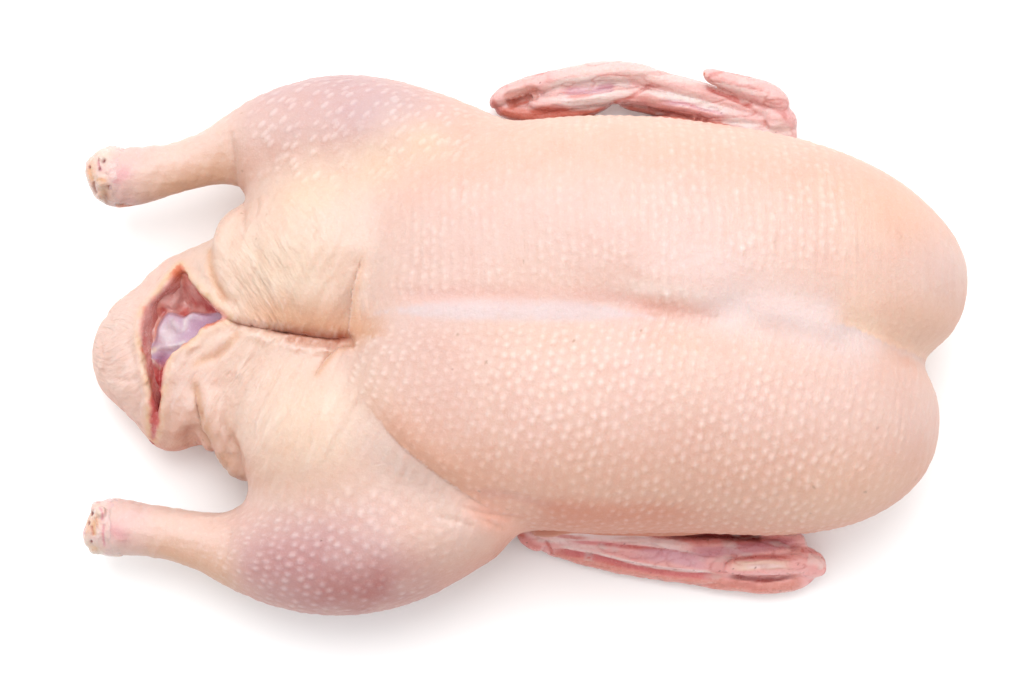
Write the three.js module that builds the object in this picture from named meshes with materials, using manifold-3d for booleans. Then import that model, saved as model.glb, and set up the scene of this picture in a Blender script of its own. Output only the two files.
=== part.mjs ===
// A whole dressed duck, raw, lying on its back with the breast up.
// X runs along the body towards the neck end, Y across it, Z up from the table. Millimetres.
// The bird is one soft solid: its forms are distance fields, blended as skin blends them and
// meshed, then cut flat where it rests, open at the vent and through at the two hocks.
// The two shin bones show at the hocks, so each is a solid of its own inside its leg.
import * as THREE from "three";
import { mergeVertices } from "three/addons/utils/BufferGeometryUtils.js";
import Module from "manifold-3d";

const point = (x, y, z) => new THREE.Vector3(x, y, z);

// Mesh density, as [place, cell length there]: fine at the tail and along the middle, wider elsewhere.
const SKIN_CELLS_ALONG = [[-210, 6.2], [-110, 6.2], [-40, 10], [60, 14], [150, 12], [212, 7.5]];
const SKIN_CELLS_ACROSS = [[-138, 9.5], [-50, 8.5], [-12, 6], [8, 6], [50, 8.5], [132, 9.5]];
const SKIN_CELLS_UP = [[-36, 8.5], [60, 8], [126, 8]];
const WING_CELLS_ALONG = [[-24, 7], [150, 7]];
const WING_CELLS_ACROSS = [[40, 4.8], [132, 4.8]];
const WING_CELLS_UP = [[-14, 4.8], [48, 4.8]];
// Straight pieces between two stations of a limb, and the sides of its rings where it is lofted.
const STATION_STEPS = 2;
const RING_SIDES = 10;
// Clear space round each shin bone in its leg.
const BONE_GAP = 0.3;
// Where each shank was cut through at the hock.
const RIGHT_HOCK_X = -182.5;
const LEFT_HOCK_X = -184;

// The shin bones, as stations [x, y, z, half width, half depth]: the knuckle that stands out of the
// cut hock, then the shaft that runs up to the knee.
const RIGHT_SHIN_BONE = [
  [-189.8, 65.2, 42, 5.4, 4.8],
  [-188, 65.2, 42, 9.4, 8.4],
  [-183.5, 65.4, 42, 10.4, 9.6],
  [-177, 66, 42, 9, 8.6],
  [-168, 67.5, 42, 6, 5.8],
  [-156, 70, 42, 4.6, 4.4],
  [-122, 79, 42, 4.4, 4.2],
  [-94, 81.5, 41, 5.2, 5],
  [-83, 82, 40.5, 8.2, 7.8],
  [-77, 82, 40, 7.4, 7],
];
const LEFT_SHIN_BONE = [
  [-191.2, -85.8, 30.5, 5.4, 4.8],
  [-189.4, -85.8, 30.6, 9.2, 8.4],
  [-184.7, -85.7, 30.8, 10.2, 9.6],
  [-178, -85.8, 31, 8.8, 8.4],
  [-169, -86.6, 31.6, 6, 5.8],
  [-158, -88, 32.5, 4.6, 4.4],
  [-122, -94.6, 35, 4.4, 4.2],
  [-94, -96, 36.5, 5.2, 5],
  [-83, -95.5, 37, 8.2, 7.8],
  [-77, -95, 37.4, 7.4, 7],
];

// Folds in the skin, as [x, y] from one end to the other.
const BELLY_CREASE = {
  path: [[-129, 2.5], [-118, 0], [-106, -2.5], [-92, -5], [-80, -6.5], [-66, -8]],
  halfWidth: 1.6,
  depth: 7,
};
const BREAST_CORNER_FOLD = {
  path: [[-70, -9], [-80, -14], [-92, -23]],
  halfWidth: 1.2,
  depth: 4,
};
const LEFT_FLAP_FOLD = {
  path: [[-141, -17], [-139, -28], [-136, -40], [-132.5, -52]],
  halfWidth: 1.4,
  depth: 5,
};

// The vent's lips as [x, y], and its pocket level by level: scaled about its middle, moved forward.
const VENT_LIPS = [
  [-149, 26],
  [-154, 18],
  [-162, 13],
  [-164.5, 4],
  [-165, -9],
  [-163, -20],
  [-161, -31],
  [-160, -44],
  [-158, -37],
  [-155.5, -28],
  [-155, -19],
  [-151.5, -12],
  [-144.5, -8.5],
  [-138, -2],
  [-127, 2.5],
  [-138.5, 13.5],
  [-145, 23],
];
const VENT_SIDES = 34;
const VENT_MIDDLE = { x: -146, y: -2 };
const VENT_LEVELS = [
  { z: 17, long: 0.82, wide: 0.82, forward: 8 },
  { z: 24, long: 1.12, wide: 1, forward: 9 },
  { z: 33, long: 1.1, wide: 1, forward: 6 },
  { z: 44, long: 1, wide: 1, forward: 0 },
  { z: 90, long: 1.02, wide: 1, forward: 0 },
];

// Distance fields, each a function of a point that is negative inside its form.

function ellipsoid(centre, semi, yawDegrees = 0, pitchDegrees = 0) {
  const turn = new THREE.Matrix4()
    .makeRotationFromEuler(
      new THREE.Euler(
        0,
        THREE.MathUtils.degToRad(pitchDegrees),
        THREE.MathUtils.degToRad(yawDegrees),
        "ZYX",
      ),
    )
    .invert();
  const local = new THREE.Vector3();
  return (p) => {
    local.copy(p).sub(centre).applyMatrix4(turn);
    const k = Math.hypot(local.x / semi.x, local.y / semi.y, local.z / semi.z);
    const steep = Math.hypot(
      local.x / semi.x ** 2,
      local.y / semi.y ** 2,
      local.z / semi.z ** 2,
    );
    return steep < 1e-9 ? -Math.min(semi.x, semi.y, semi.z) : (k * (k - 1)) / steep;
  };
}

// A limb follows stations [x, y, z, half width, half depth], its width level and its depth upright,
// along smooth curves through the places and through the sizes.
function spineOf(stations) {
  const places = new THREE.CatmullRomCurve3(stations.map(([x, y, z]) => point(x, y, z)));
  const sizes = new THREE.CatmullRomCurve3(
    stations.map(([, , , wide, deep = wide]) => point(wide, deep, 0)),
  );
  const steps = (stations.length - 1) * STATION_STEPS;
  return Array.from({ length: steps + 1 }, (_, n) => {
    const size = sizes.getPoint(n / steps);
    return { at: places.getPoint(n / steps), wide: size.x, deep: size.y };
  });
}

function limb(stations) {
  const spine = spineOf(stations);
  const bones = spine.slice(1).map((end, i) => {
    const start = spine[i];
    const along = end.at.clone().sub(start.at);
    const length = along.length();
    along.normalize();
    const side = point(0, 0, 1).cross(along).normalize();
    const rise = along.clone().cross(side);
    return { start, end, along, side, rise, length };
  });
  const offset = new THREE.Vector3();
  return (p) => {
    let nearest = Infinity;
    for (const { start, end, along, side, rise, length } of bones) {
      offset.copy(p).sub(start.at);
      const t = THREE.MathUtils.clamp(offset.dot(along) / length, 0, 1);
      const wide = THREE.MathUtils.lerp(start.wide, end.wide, t);
      const deep = THREE.MathUtils.lerp(start.deep, end.deep, t);
      offset.addScaledVector(along, -t * length);
      const long = (wide + deep) / 2;
      const a = offset.dot(side);
      const b = offset.dot(rise);
      const c = offset.dot(along);
      const k = Math.hypot(a / wide, b / deep, c / long);
      const steep = Math.hypot(a / wide ** 2, b / deep ** 2, c / long ** 2);
      const d = steep < 1e-9 ? -Math.min(wide, deep) : (k * (k - 1)) / steep;
      nearest = Math.min(nearest, d);
    }
    return nearest;
  };
}

// Two distances joined with a fillet of about this width.
function soften(a, b, width) {
  const h = Math.max(width - Math.abs(a - b), 0) / width;
  return Math.min(a, b) - (h * h * width) / 4;
}

function blend(width, ...forms) {
  return (p) => forms.map((form) => form(p)).reduce((a, b) => soften(a, b, width));
}

function carve(form, tool, width) {
  return (p) => -soften(-form(p), tool(p), width);
}

// The breast: two long lobes over the ribs, each with a full end at the neck, and its blunt rear edge.
function breast() {
  const ribs = ellipsoid(point(52, 0, 50), point(122, 72, 56));
  const rear = ellipsoid(point(-22, -3, 57), point(49, 56, 41));
  const rightLong = ellipsoid(point(42, 42, 53), point(122, 48, 52), -2);
  const rightEnd = ellipsoid(point(120, 28, 54), point(71, 45, 49), -11);
  const leftLong = ellipsoid(point(40, -41, 53), point(118, 47, 52), 1);
  const leftEnd = ellipsoid(point(110, -43, 53), point(67, 46, 49), -3);
  const right = blend(16, rightLong, rightEnd);
  const left = blend(16, leftLong, leftEnd);
  const whole = blend(22, blend(26, ribs, blend(12, right, left)), rear);
  const keelDip = limb([
    [26, 1, 116, 6, 5],
    [60, -1, 113, 9, 8],
    [96, -3, 114, 9, 8],
    [130, -7, 112, 6, 8],
    [158, -11, 101, 5, 11],
    [184, -17, 72, 5, 16],
    [198, -19, 40, 6, 18],
  ]);
  return carve(whole, keelDip, 12);
}

// The neck was taken off short, and its skin lies folded under the back.
function neckSkin() {
  return ellipsoid(point(138, -6, 20), point(34, 33, 19), 4);
}

// A leg: its shank from the hock, then the full drumstick and the thigh that runs into the flank.
function rightLeg() {
  return limb([
    [-184, 65.4, 42, 12],
    [-175, 66, 42, 13.4],
    [-162, 68.5, 42, 12.6],
    [-148, 71.5, 42, 11.4],
    [-136, 75, 42, 12.4],
    [-124, 79, 42, 15.5],
    [-108, 81.5, 42, 22, 23],
    [-90, 82.5, 41, 27.5, 30],
    [-72, 82, 40, 29.5, 34],
    [-52, 79, 41, 28, 36],
    [-32, 74, 44, 25, 36],
  ]);
}

function leftLeg() {
  return limb([
    [-186, -85.7, 30.8, 12],
    [-176, -85.5, 31, 13],
    [-162, -87, 32, 11.8],
    [-148, -89.5, 33, 12],
    [-136, -92, 34, 13.2],
    [-124, -95, 35, 16.5],
    [-108, -96, 36, 22.5, 23],
    [-90, -96, 37, 27, 30],
    [-72, -94, 38, 29.5, 34],
    [-52, -90, 39, 28, 36],
    [-30, -82, 42, 24, 35],
  ]);
}

// The belly behind the breast and the tail, which the vent is cut across.
function hindquarters() {
  const belly = ellipsoid(point(-70, -4, 31), point(80, 62, 37));
  const rump = ellipsoid(point(-137, -6, 26), point(36, 45, 27));
  const tail = ellipsoid(point(-163, -10, 21), point(28, 27, 20), -14);
  const corner = ellipsoid(point(-150, -33, 20), point(20, 20, 16), -20);
  return blend(18, belly, blend(14, rump, blend(10, tail, corner)));
}

// Loose skin and fat between each drumstick and the middle of the belly. The right lies over the left.
function rightFlank() {
  const apron = ellipsoid(point(-73, 31, 44), point(54, 40, 38), 0);
  const lip = ellipsoid(point(-120, 22, 43), point(19, 24, 22), 4);
  return blend(9, apron, lip);
}

function leftFlank() {
  const apron = ellipsoid(point(-73, -46, 41), point(52, 42, 37), -8);
  const lip = ellipsoid(point(-137, -27, 34), point(18, 23, 20), -10);
  return blend(6, apron, lip);
}

function duckForm() {
  const hind = hindquarters();
  const rightSide = blend(18, rightLeg(), rightFlank());
  const leftSide = blend(18, leftLeg(), leftFlank());
  const sides = blend(3, rightSide, leftSide);
  const front = blend(12, breast(), neckSkin());
  return blend(9, blend(7, sides, hind), front);
}

// A wing folded in three: upper arm from the shoulder, forearm, then the hand with its thumb.
function foldedWing(upperArm, forearm, hand, thumb) {
  return blend(4, blend(10, limb(upperArm), limb(forearm)), blend(2.5, limb(hand), limb(thumb)));
}

function rightWingForm() {
  return foldedWing(
    [
      [108, 62, 27, 16, 14],
      [60, 74, 19, 13, 12],
      [12, 84, 13, 10, 10],
    ],
    [
      [8, 86, 11, 8, 8],
      [52, 88, 11, 7, 8],
      [112, 90, 13, 9, 9],
    ],
    [
      [115, 98, 14, 9.5, 9.5],
      [97, 101, 14, 9.5, 9],
      [79, 105, 14, 9, 9],
      [61, 111, 14, 8.5, 8.5],
      [47, 115, 14, 9, 8.5],
      [32, 113.5, 13, 10, 8],
      [14, 110, 12, 10.5, 8],
      [-8, 106.5, 11, 9, 7],
    ],
    [
      [116, 104.5, 20, 7, 6],
      [100, 110, 22, 6, 5.5],
      [85, 115, 23, 4.5, 4.5],
    ],
  );
}

function leftWingForm() {
  return foldedWing(
    [
      [114, -68, 27, 17, 14],
      [62, -77, 19, 13, 12],
      [6, -86, 13, 10, 10],
    ],
    [
      [2, -89, 14, 9.5, 9.5],
      [56, -94, 14, 9, 9],
      [126, -99, 15, 9, 9],
    ],
    [
      [126.5, -104.5, 12, 9.5, 9],
      [104, -108.5, 11, 8, 8],
      [84, -107.5, 10, 7.5, 8],
      [52, -103, 9, 7, 8],
      [18, -96, 9, 6.5, 7],
      [2, -92, 9, 6, 7],
    ],
    [
      [122, -103, 20, 6, 5],
      [106, -103, 21, 5.5, 5],
      [91, -102.5, 20, 4.2, 4.2],
    ],
  );
}

// Grid lines whose spacing follows the cell lengths given at some places.
function gridLines(cells) {
  const lines = [cells[0][0]];
  while (lines.at(-1) < cells.at(-1)[0]) {
    const here = lines.at(-1);
    const next = cells.findIndex(([place]) => place > here);
    const [[from, before], [to, after]] = [cells[next - 1], cells[next]];
    lines.push(here + THREE.MathUtils.mapLinear(here, from, to, before, after));
  }
  return lines;
}

// Meshes the zero surface of a distance field: one vertex in each grid cell that it crosses,
// one quad round each grid edge that it crosses, then every vertex is drawn onto the surface.
function meshOf(form, xs, ys, zs) {
  const [nx, ny, nz] = [xs.length, ys.length, zs.length];
  const index = (i, j, k) => (k * ny + j) * nx + i;
  const field = new Float64Array(nx * ny * nz);
  const p = new THREE.Vector3();
  for (let k = 0; k < nz; k++)
    for (let j = 0; j < ny; j++)
      for (let i = 0; i < nx; i++) field[index(i, j, k)] = form(p.set(xs[i], ys[j], zs[k]));

  const corners = [];
  for (let c = 0; c < 8; c++) corners.push([c & 1, (c >> 1) & 1, c >> 2]);
  const edges = [];
  for (let a = 0; a < 8; a++)
    for (const bit of [1, 2, 4]) if (!(a & bit)) edges.push([a, a | bit]);

  const positions = [];
  const cellVertex = new Map();
  for (let k = 0; k + 1 < nz; k++)
    for (let j = 0; j + 1 < ny; j++)
      for (let i = 0; i + 1 < nx; i++) {
        const at = corners.map(([a, b, c]) => ({
          place: point(xs[i + a], ys[j + b], zs[k + c]),
          value: field[index(i + a, j + b, k + c)],
        }));
        const sum = new THREE.Vector3();
        let crossings = 0;
        for (const [a, b] of edges) {
          const [u, v] = [at[a], at[b]];
          if (u.value < 0 === v.value < 0) continue;
          sum.add(u.place.clone().lerp(v.place, u.value / (u.value - v.value)));
          crossings++;
        }
        if (!crossings) continue;
        cellVertex.set(index(i, j, k), positions.length);
        positions.push(sum.divideScalar(crossings));
      }

  const triangles = [];
  const quad = (inward, a, b, c, d) => {
    const [w, x, y, z] = [a, b, c, d].map((cell) => cellVertex.get(cell));
    const ring = inward ? [w, z, y, x] : [w, x, y, z];
    const [q, r, s, t] = ring.map((v) => positions[v]);
    if (q.distanceToSquared(s) < r.distanceToSquared(t))
      triangles.push(ring[0], ring[1], ring[2], ring[0], ring[2], ring[3]);
    else triangles.push(ring[1], ring[2], ring[3], ring[1], ring[3], ring[0]);
  };
  for (let k = 1; k + 1 < nz; k++)
    for (let j = 1; j + 1 < ny; j++)
      for (let i = 1; i + 1 < nx; i++) {
        const here = field[index(i, j, k)] < 0;
        if (here !== field[index(i + 1, j, k)] < 0)
          quad(!here, index(i, j - 1, k - 1), index(i, j, k - 1), index(i, j, k), index(i, j - 1, k));
        if (here !== field[index(i, j + 1, k)] < 0)
          quad(!here, index(i - 1, j, k - 1), index(i - 1, j, k), index(i, j, k), index(i, j, k - 1));
        if (here !== field[index(i, j, k + 1)] < 0)
          quad(!here, index(i - 1, j - 1, k), index(i, j - 1, k), index(i, j, k), index(i - 1, j, k));
      }

  drawOnto(form, positions, triangles);
  return geometryFrom(positions, triangles);
}

// Evens out the vertices, moving each towards its neighbours' middle and back onto the surface.
function drawOnto(form, positions, triangles) {
  const rounds = 4;
  const reach = 0.5;
  const step = 0.05;
  const slope = new THREE.Vector3();
  const probe = new THREE.Vector3();
  const settle = (p) => {
    for (let n = 0; n < 2; n++) {
      const d = form(p);
      slope.set(
        form(probe.set(p.x + step, p.y, p.z)) - d,
        form(probe.set(p.x, p.y + step, p.z)) - d,
        form(probe.set(p.x, p.y, p.z + step)) - d,
      );
      const steep = slope.length() / step;
      if (steep < 1e-3) return;
      p.addScaledVector(slope.normalize(), -THREE.MathUtils.clamp(d / steep, -2, 2));
    }
  };
  for (let round = 0; round < rounds; round++) {
    const middle = positions.map(() => new THREE.Vector3());
    const count = new Uint16Array(positions.length);
    for (let t = 0; t < triangles.length; t += 3)
      for (let e = 0; e < 3; e++) {
        const a = triangles[t + e];
        const b = triangles[t + ((e + 1) % 3)];
        middle[a].add(positions[b]);
        count[a]++;
      }
    positions.forEach((p, v) => {
      p.lerp(middle[v].divideScalar(count[v]), reach);
      settle(p);
    });
  }
}

function geometryFrom(positions, triangles) {
  return new THREE.BufferGeometry()
    .setAttribute(
      "position",
      new THREE.Float32BufferAttribute(
        positions.flatMap((p) => [p.x, p.y, p.z]),
        3,
      ),
    )
    .setIndex(triangles);
}

// manifold-3d joins and cuts the closed meshes.
const wasm = await Module();
wasm.setup();

function solidOf(geometry) {
  const bare = geometry.clone();
  bare.deleteAttribute("normal");
  bare.deleteAttribute("uv");
  const merged = mergeVertices(bare, 1e-4);
  return new wasm.Manifold(
    new wasm.Mesh({
      numProp: 3,
      vertProperties: new Float32Array(merged.attributes.position.array),
      triVerts: new Uint32Array(merged.index.array),
    }),
  );
}

function geometryOf(solid) {
  const { numProp, vertProperties, triVerts } = solid.getMesh();
  const positions = [];
  for (let v = 0; v < vertProperties.length; v += numProp)
    positions.push(point(...vertProperties.subarray(v, v + 3)));
  return geometryFrom(positions, [...triVerts]);
}

// The triangles between rings of points that lie one after another.
function tubeWalls(rings, sides) {
  const triangles = [];
  for (let ring = 0; ring + 1 < rings; ring++)
    for (let k = 0; k < sides; k++) {
      const a = ring * sides + k;
      const b = ring * sides + ((k + 1) % sides);
      triangles.push(a, b, b + sides, a, b + sides, a + sides);
    }
  return triangles;
}

// A closed tube through a limb's stations, grown all round by the given amount.
function loft(stations, grow = 0) {
  const spine = spineOf(stations);
  const positions = [];
  const along = new THREE.Vector3();
  spine.forEach(({ at, wide, deep }, n) => {
    const before = spine[Math.max(n - 1, 0)].at;
    const after = spine[Math.min(n + 1, spine.length - 1)].at;
    along.subVectors(after, before).normalize();
    const side = point(0, 0, 1).cross(along).normalize();
    const rise = along.clone().cross(side);
    const push = n === 0 ? -grow : n === spine.length - 1 ? grow : 0;
    const middle = at.clone().addScaledVector(along, push);
    for (let k = 0; k < RING_SIDES; k++) {
      const angle = (2 * Math.PI * k) / RING_SIDES;
      positions.push(
        middle
          .clone()
          .addScaledVector(side, (wide + grow) * Math.cos(angle))
          .addScaledVector(rise, (deep + grow) * Math.sin(angle)),
      );
    }
  });
  const triangles = tubeWalls(spine.length, RING_SIDES);
  const last = (spine.length - 1) * RING_SIDES;
  for (let k = 1; k + 1 < RING_SIDES; k++) {
    triangles.push(0, k + 1, k);
    triangles.push(last, last + k, last + k + 1);
  }
  return solidOf(geometryFrom(positions, triangles));
}

// A fold in the skin: a narrow slit that follows a path over the form and fades out at both ends.
function fold(form, { path, halfWidth, depth }) {
  const ceiling = 130;
  const step = 0.5;
  const endShare = 1 / 3;
  const probe = new THREE.Vector3();
  const stations = path.map(([x, y], n) => {
    let z = ceiling;
    while (form(probe.set(x, y, z)) > 0) z -= step;
    const share = n === 0 || n === path.length - 1 ? endShare : 1;
    return [x, y, z, halfWidth * share, depth * share];
  });
  return loft(stations);
}

function skin(form) {
  const [xs, ys, zs] = [SKIN_CELLS_ALONG, SKIN_CELLS_ACROSS, SKIN_CELLS_UP].map(gridLines);
  return solidOf(meshOf(form, xs, ys, zs));
}

function wing(form, side) {
  const xs = gridLines(WING_CELLS_ALONG);
  const ys = gridLines(WING_CELLS_ACROSS).map((y) => side * y);
  if (side < 0) ys.reverse();
  return solidOf(meshOf(form, xs, ys, gridLines(WING_CELLS_UP)));
}

function block(from, to) {
  const size = to.clone().sub(from);
  const box = new THREE.BoxGeometry(size.x, size.y, size.z);
  box.translate(...from.clone().addScaledVector(size, 0.5).toArray());
  return solidOf(box);
}

// What lies below the table's surface, and what lay beyond each cut hock.
const table = block(point(-300, -300, -60), point(300, 300, 0));
const rightHockCut = block(point(-230, 40, 10), point(RIGHT_HOCK_X, 95, 75));
const leftHockCut = block(point(-230, -115, 5), point(LEFT_HOCK_X, -60, 65));

// The vent: its lips as seen from above, and the wider pocket that shows inside.
function ventCutter() {
  const lips = new THREE.CatmullRomCurve3(
    VENT_LIPS.map(([x, y]) => point(x, y, 0)),
    true,
  )
    .getSpacedPoints(VENT_SIDES)
    .slice(0, VENT_SIDES);
  const positions = VENT_LEVELS.flatMap(({ z, long, wide, forward }) =>
    lips.map((p) =>
      point(
        THREE.MathUtils.lerp(VENT_MIDDLE.x, p.x, long) + forward,
        THREE.MathUtils.lerp(VENT_MIDDLE.y, p.y, wide),
        z,
      ),
    ),
  );
  const top = (VENT_LEVELS.length - 1) * VENT_SIDES;
  const triangles = tubeWalls(VENT_LEVELS.length, VENT_SIDES);
  const outline = lips.map((p) => new THREE.Vector2(p.x, p.y));
  for (const [a, b, c] of THREE.ShapeUtils.triangulateShape(outline, [])) {
    triangles.push(c, b, a);
    triangles.push(top + a, top + b, top + c);
  }
  return solidOf(geometryFrom(positions, triangles));
}

const form = duckForm();
const bird = skin(form)
  .add(wing(rightWingForm(), 1))
  .add(wing(leftWingForm(), -1))
  .subtract(table)
  .subtract(rightHockCut)
  .subtract(leftHockCut)
  .subtract(loft(RIGHT_SHIN_BONE, BONE_GAP))
  .subtract(loft(LEFT_SHIN_BONE, BONE_GAP))
  .subtract(ventCutter())
  .subtract(fold(form, BELLY_CREASE))
  .subtract(fold(form, BREAST_CORNER_FOLD))
  .subtract(fold(form, LEFT_FLAP_FOLD));

const skinFinish = { color: 0xf0cdb8, roughness: 0.5, metalness: 0 };
const boneFinish = { color: 0xf2dcc0, roughness: 0.4, metalness: 0 };

function piece(name, solid, finish) {
  const mesh = new THREE.Mesh(geometryOf(solid), new THREE.MeshStandardMaterial(finish));
  mesh.name = name;
  return mesh;
}

const duck = new THREE.Group();
duck.add(piece("duck", bird, skinFinish));
duck.add(piece("right_shin_bone", loft(RIGHT_SHIN_BONE), boneFinish));
duck.add(piece("left_shin_bone", loft(LEFT_SHIN_BONE), boneFinish));

export default duck;
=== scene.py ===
import math

import bpy
import numpy as np
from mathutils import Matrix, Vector


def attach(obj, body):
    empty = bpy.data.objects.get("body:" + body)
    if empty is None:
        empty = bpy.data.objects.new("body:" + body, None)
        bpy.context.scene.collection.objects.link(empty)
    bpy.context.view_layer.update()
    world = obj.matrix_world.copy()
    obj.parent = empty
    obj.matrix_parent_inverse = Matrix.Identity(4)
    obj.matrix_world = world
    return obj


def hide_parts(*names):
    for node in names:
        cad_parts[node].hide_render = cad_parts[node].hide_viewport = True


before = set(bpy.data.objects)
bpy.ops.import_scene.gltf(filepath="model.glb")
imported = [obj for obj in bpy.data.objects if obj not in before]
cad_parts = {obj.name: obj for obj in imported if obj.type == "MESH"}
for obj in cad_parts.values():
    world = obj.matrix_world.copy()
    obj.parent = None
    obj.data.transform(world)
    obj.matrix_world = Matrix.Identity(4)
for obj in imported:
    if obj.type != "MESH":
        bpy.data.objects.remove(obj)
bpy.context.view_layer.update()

# A whole raw duck lying on its back. X runs towards the neck end, Y across the body, Z up.
# Places are in millimetres in this script and turn into metres where they reach a mesh.
MM = 0.001

# How large the faces are: on the body's first form, on the folded skin, the wings and the knuckles.
FORM_VOXEL = 1.3
SKIN_VOXEL = 1.05
WING_VOXEL = 0.75
KNUCKLE_VOXEL = 0.6

# The most triangles that the skin keeps, and the share of its faces that stays on the hidden back.
SKIN_TRIANGLES = 194000
BACK_SHARE = 0.15

# Heights above the table: the bird's upper side, and the top of its breast.
UPPER_SIDE = 30
BREAST_TOP = 60

# The view from almost straight above, through a long lens.
CAMERA_AIM = (-4.7, -6.0, 50.0)
CAMERA_LENS = 85.0
CAMERA_SENSOR = 36.0
CAMERA_ELEVATION = 84.0
CAMERA_DISTANCE = 1039.6

# The share of the light that the palest skin throws back, on a table that is lit until it is white.
SKIN_SHARE = 0.64


def colour(red, green, blue):
    """A tint from its look in the bright light.

    A channel runs from 0 to 255, and past that for painted light, where the form leaves the skin a little
    too dark.
    """
    seen = np.array([red, green, blue]) / 255
    return SKIN_SHARE * np.where(seen <= 0.04045, seen / 12.92, ((seen + 0.055) / 1.055) ** 2.4)


# Tints of the skin.
PALE_SKIN = colour(253, 220, 204)
COOL_SKIN = colour(249, 212, 204)
FATTY_SKIN = colour(255, 227, 200)
# Painted light, for the brightest places and to lift shaded ones.
PAINTED_LIGHT_SKIN = colour(255, 230, 226)
KEEL_SKIN = colour(243, 221, 220)
# Painted shade for sides that turn from the light, the deeper one for the low side and edges.
SIDE_PAINTED_SHADE = colour(255, 198, 172)
DEEP_SIDE_PAINTED_SHADE = colour(242, 154, 122)
SHANK_SKIN = colour(250, 215, 201)
SHANK_SHADE = colour(242, 188, 152)
ROSE_GREY = colour(238, 206, 198)
# Painted shade on the breast beside the thigh's edge, and painted light on the thigh.
BREAST_EDGE_PAINTED_SHADE = colour(248, 188, 157)
THIGH_PAINTED_LIGHT = colour(255, 228, 217)
LOBE_FLUSH = colour(255, 206, 178)
# Painted light, beside the lobes' parting and on the slope above the keel's groove.
LOBE_LIGHT = colour(276, 236, 210)
SLOPE_LIGHT = colour(270, 254, 247)
# Painted shade beside the keel.
KEEL_PAINTED_SHADE = colour(238, 176, 168)
FLUSH_SALMON = colour(246, 182, 168)
# Painted light in the shaded armpit.
ARMPIT_PAINTED_LIGHT = colour(280, 208, 184)
# Painted shade where the body's low edge meets the left wing.
SEAM_PAINTED_SHADE = colour(240, 140, 108)
# Painted light on the tail's upward faces.
TAIL_TOP_PAINTED_LIGHT = colour(255, 218, 204)
# Painted shade in the belly's trough, in the hollows, beside the crease and in it.
TROUGH_PAINTED_SHADE = colour(222, 140, 108)
PINK_SKIN_AND_HOLLOW_SHADE = colour(234, 172, 148)
CREASE_PAINTED_SHADE = colour(242, 182, 144)
CREASE_LINE_PAINTED_SHADE = colour(196, 98, 62)
DRUM_TINT = colour(221, 188, 191)
DRUM_BLUE = colour(226, 208, 212)
DRUM_FLUSH = colour(196, 122, 122)
DRUM_DEEP = colour(202, 148, 152)
DRUM_SHADE = colour(212, 178, 184)
HOCK_PINK = colour(246, 204, 203)
HOCK_FLUSH = colour(242, 172, 178)
FAT_EDGE = colour(250, 208, 160)
FEATHER_ROOT = colour(206, 168, 146)

# Tints of the wings.
WING_PINK = colour(255, 206, 202)
WING_PALE = colour(255, 230, 224)
WING_WHITE = colour(255, 238, 234)
WING_CREAM = colour(252, 228, 208)
WING_ROSE = colour(255, 192, 188)
WING_SALMON = colour(240, 158, 152)
WING_FLUSH = colour(236, 152, 152)
WING_RED = colour(222, 120, 110)
WING_ORANGE = colour(222, 118, 96)
WING_BROWN = colour(232, 162, 146)
WING_PURPLE = colour(206, 138, 150)
WING_LAVENDER = colour(238, 190, 202)
# Painted shade in the wings' grooves.
WING_GROOVE_PAINTED_SHADE = colour(224, 120, 122)
WING_SHADE = colour(160, 72, 68)
PORE_BROWN = colour(150, 90, 80)

# Tints inside the vent.
FLESH_PINK = colour(250, 184, 176)
FLESH_PALE = colour(246, 190, 182)
FLESH_SALMON = colour(250, 160, 136)
FLESH_ORANGE = colour(234, 122, 76)
FLESH_RED = colour(236, 132, 124)
FLESH_CRIMSON = colour(210, 84, 84)
MEMBRANE = colour(220, 184, 208)
MEMBRANE_DEEP = colour(196, 140, 176)
MEMBRANE_WHITE = colour(244, 230, 234)
TENDON_WHITE = colour(246, 220, 196)

# Tints of the cut joints.
BONE_PINK = colour(250, 216, 210)
BONE_CREAM = colour(250, 230, 212)
BONE_ORANGE = colour(246, 190, 150)
BONE_TAN = colour(244, 200, 166)
# Painted shade at the edges of a cut facet.
BONE_EDGE_PAINTED_SHADE = colour(176, 112, 88)
SPOT_RED = colour(186, 60, 66)
SPOT_DARK = colour(140, 40, 44)


def clear_selection():
    """Leaves nothing selected."""
    bpy.ops.object.select_all(action="DESELECT")


def work_on(piece):
    """Makes a piece the only one selected."""
    clear_selection()
    piece.select_set(True)
    bpy.context.view_layer.objects.active = piece


def apply_modifier(piece, kind, **settings):
    """Adds a modifier to a piece and applies it."""
    work_on(piece)
    modifier = piece.modifiers.new(kind.title(), kind)
    for name, value in settings.items():
        setattr(modifier, name, value)
    bpy.ops.object.modifier_apply(modifier=modifier.name)


def delete_points(piece, chosen):
    """Deletes the points for which chosen is true."""
    work_on(piece)
    bpy.ops.object.mode_set(mode="EDIT")
    bpy.ops.mesh.select_mode(type="VERT")
    bpy.ops.mesh.select_all(action="DESELECT")
    bpy.ops.object.mode_set(mode="OBJECT")
    piece.data.vertices.foreach_set("select", chosen)
    bpy.ops.object.mode_set(mode="EDIT")
    bpy.ops.mesh.delete(type="VERT")
    bpy.ops.object.mode_set(mode="OBJECT")


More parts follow.
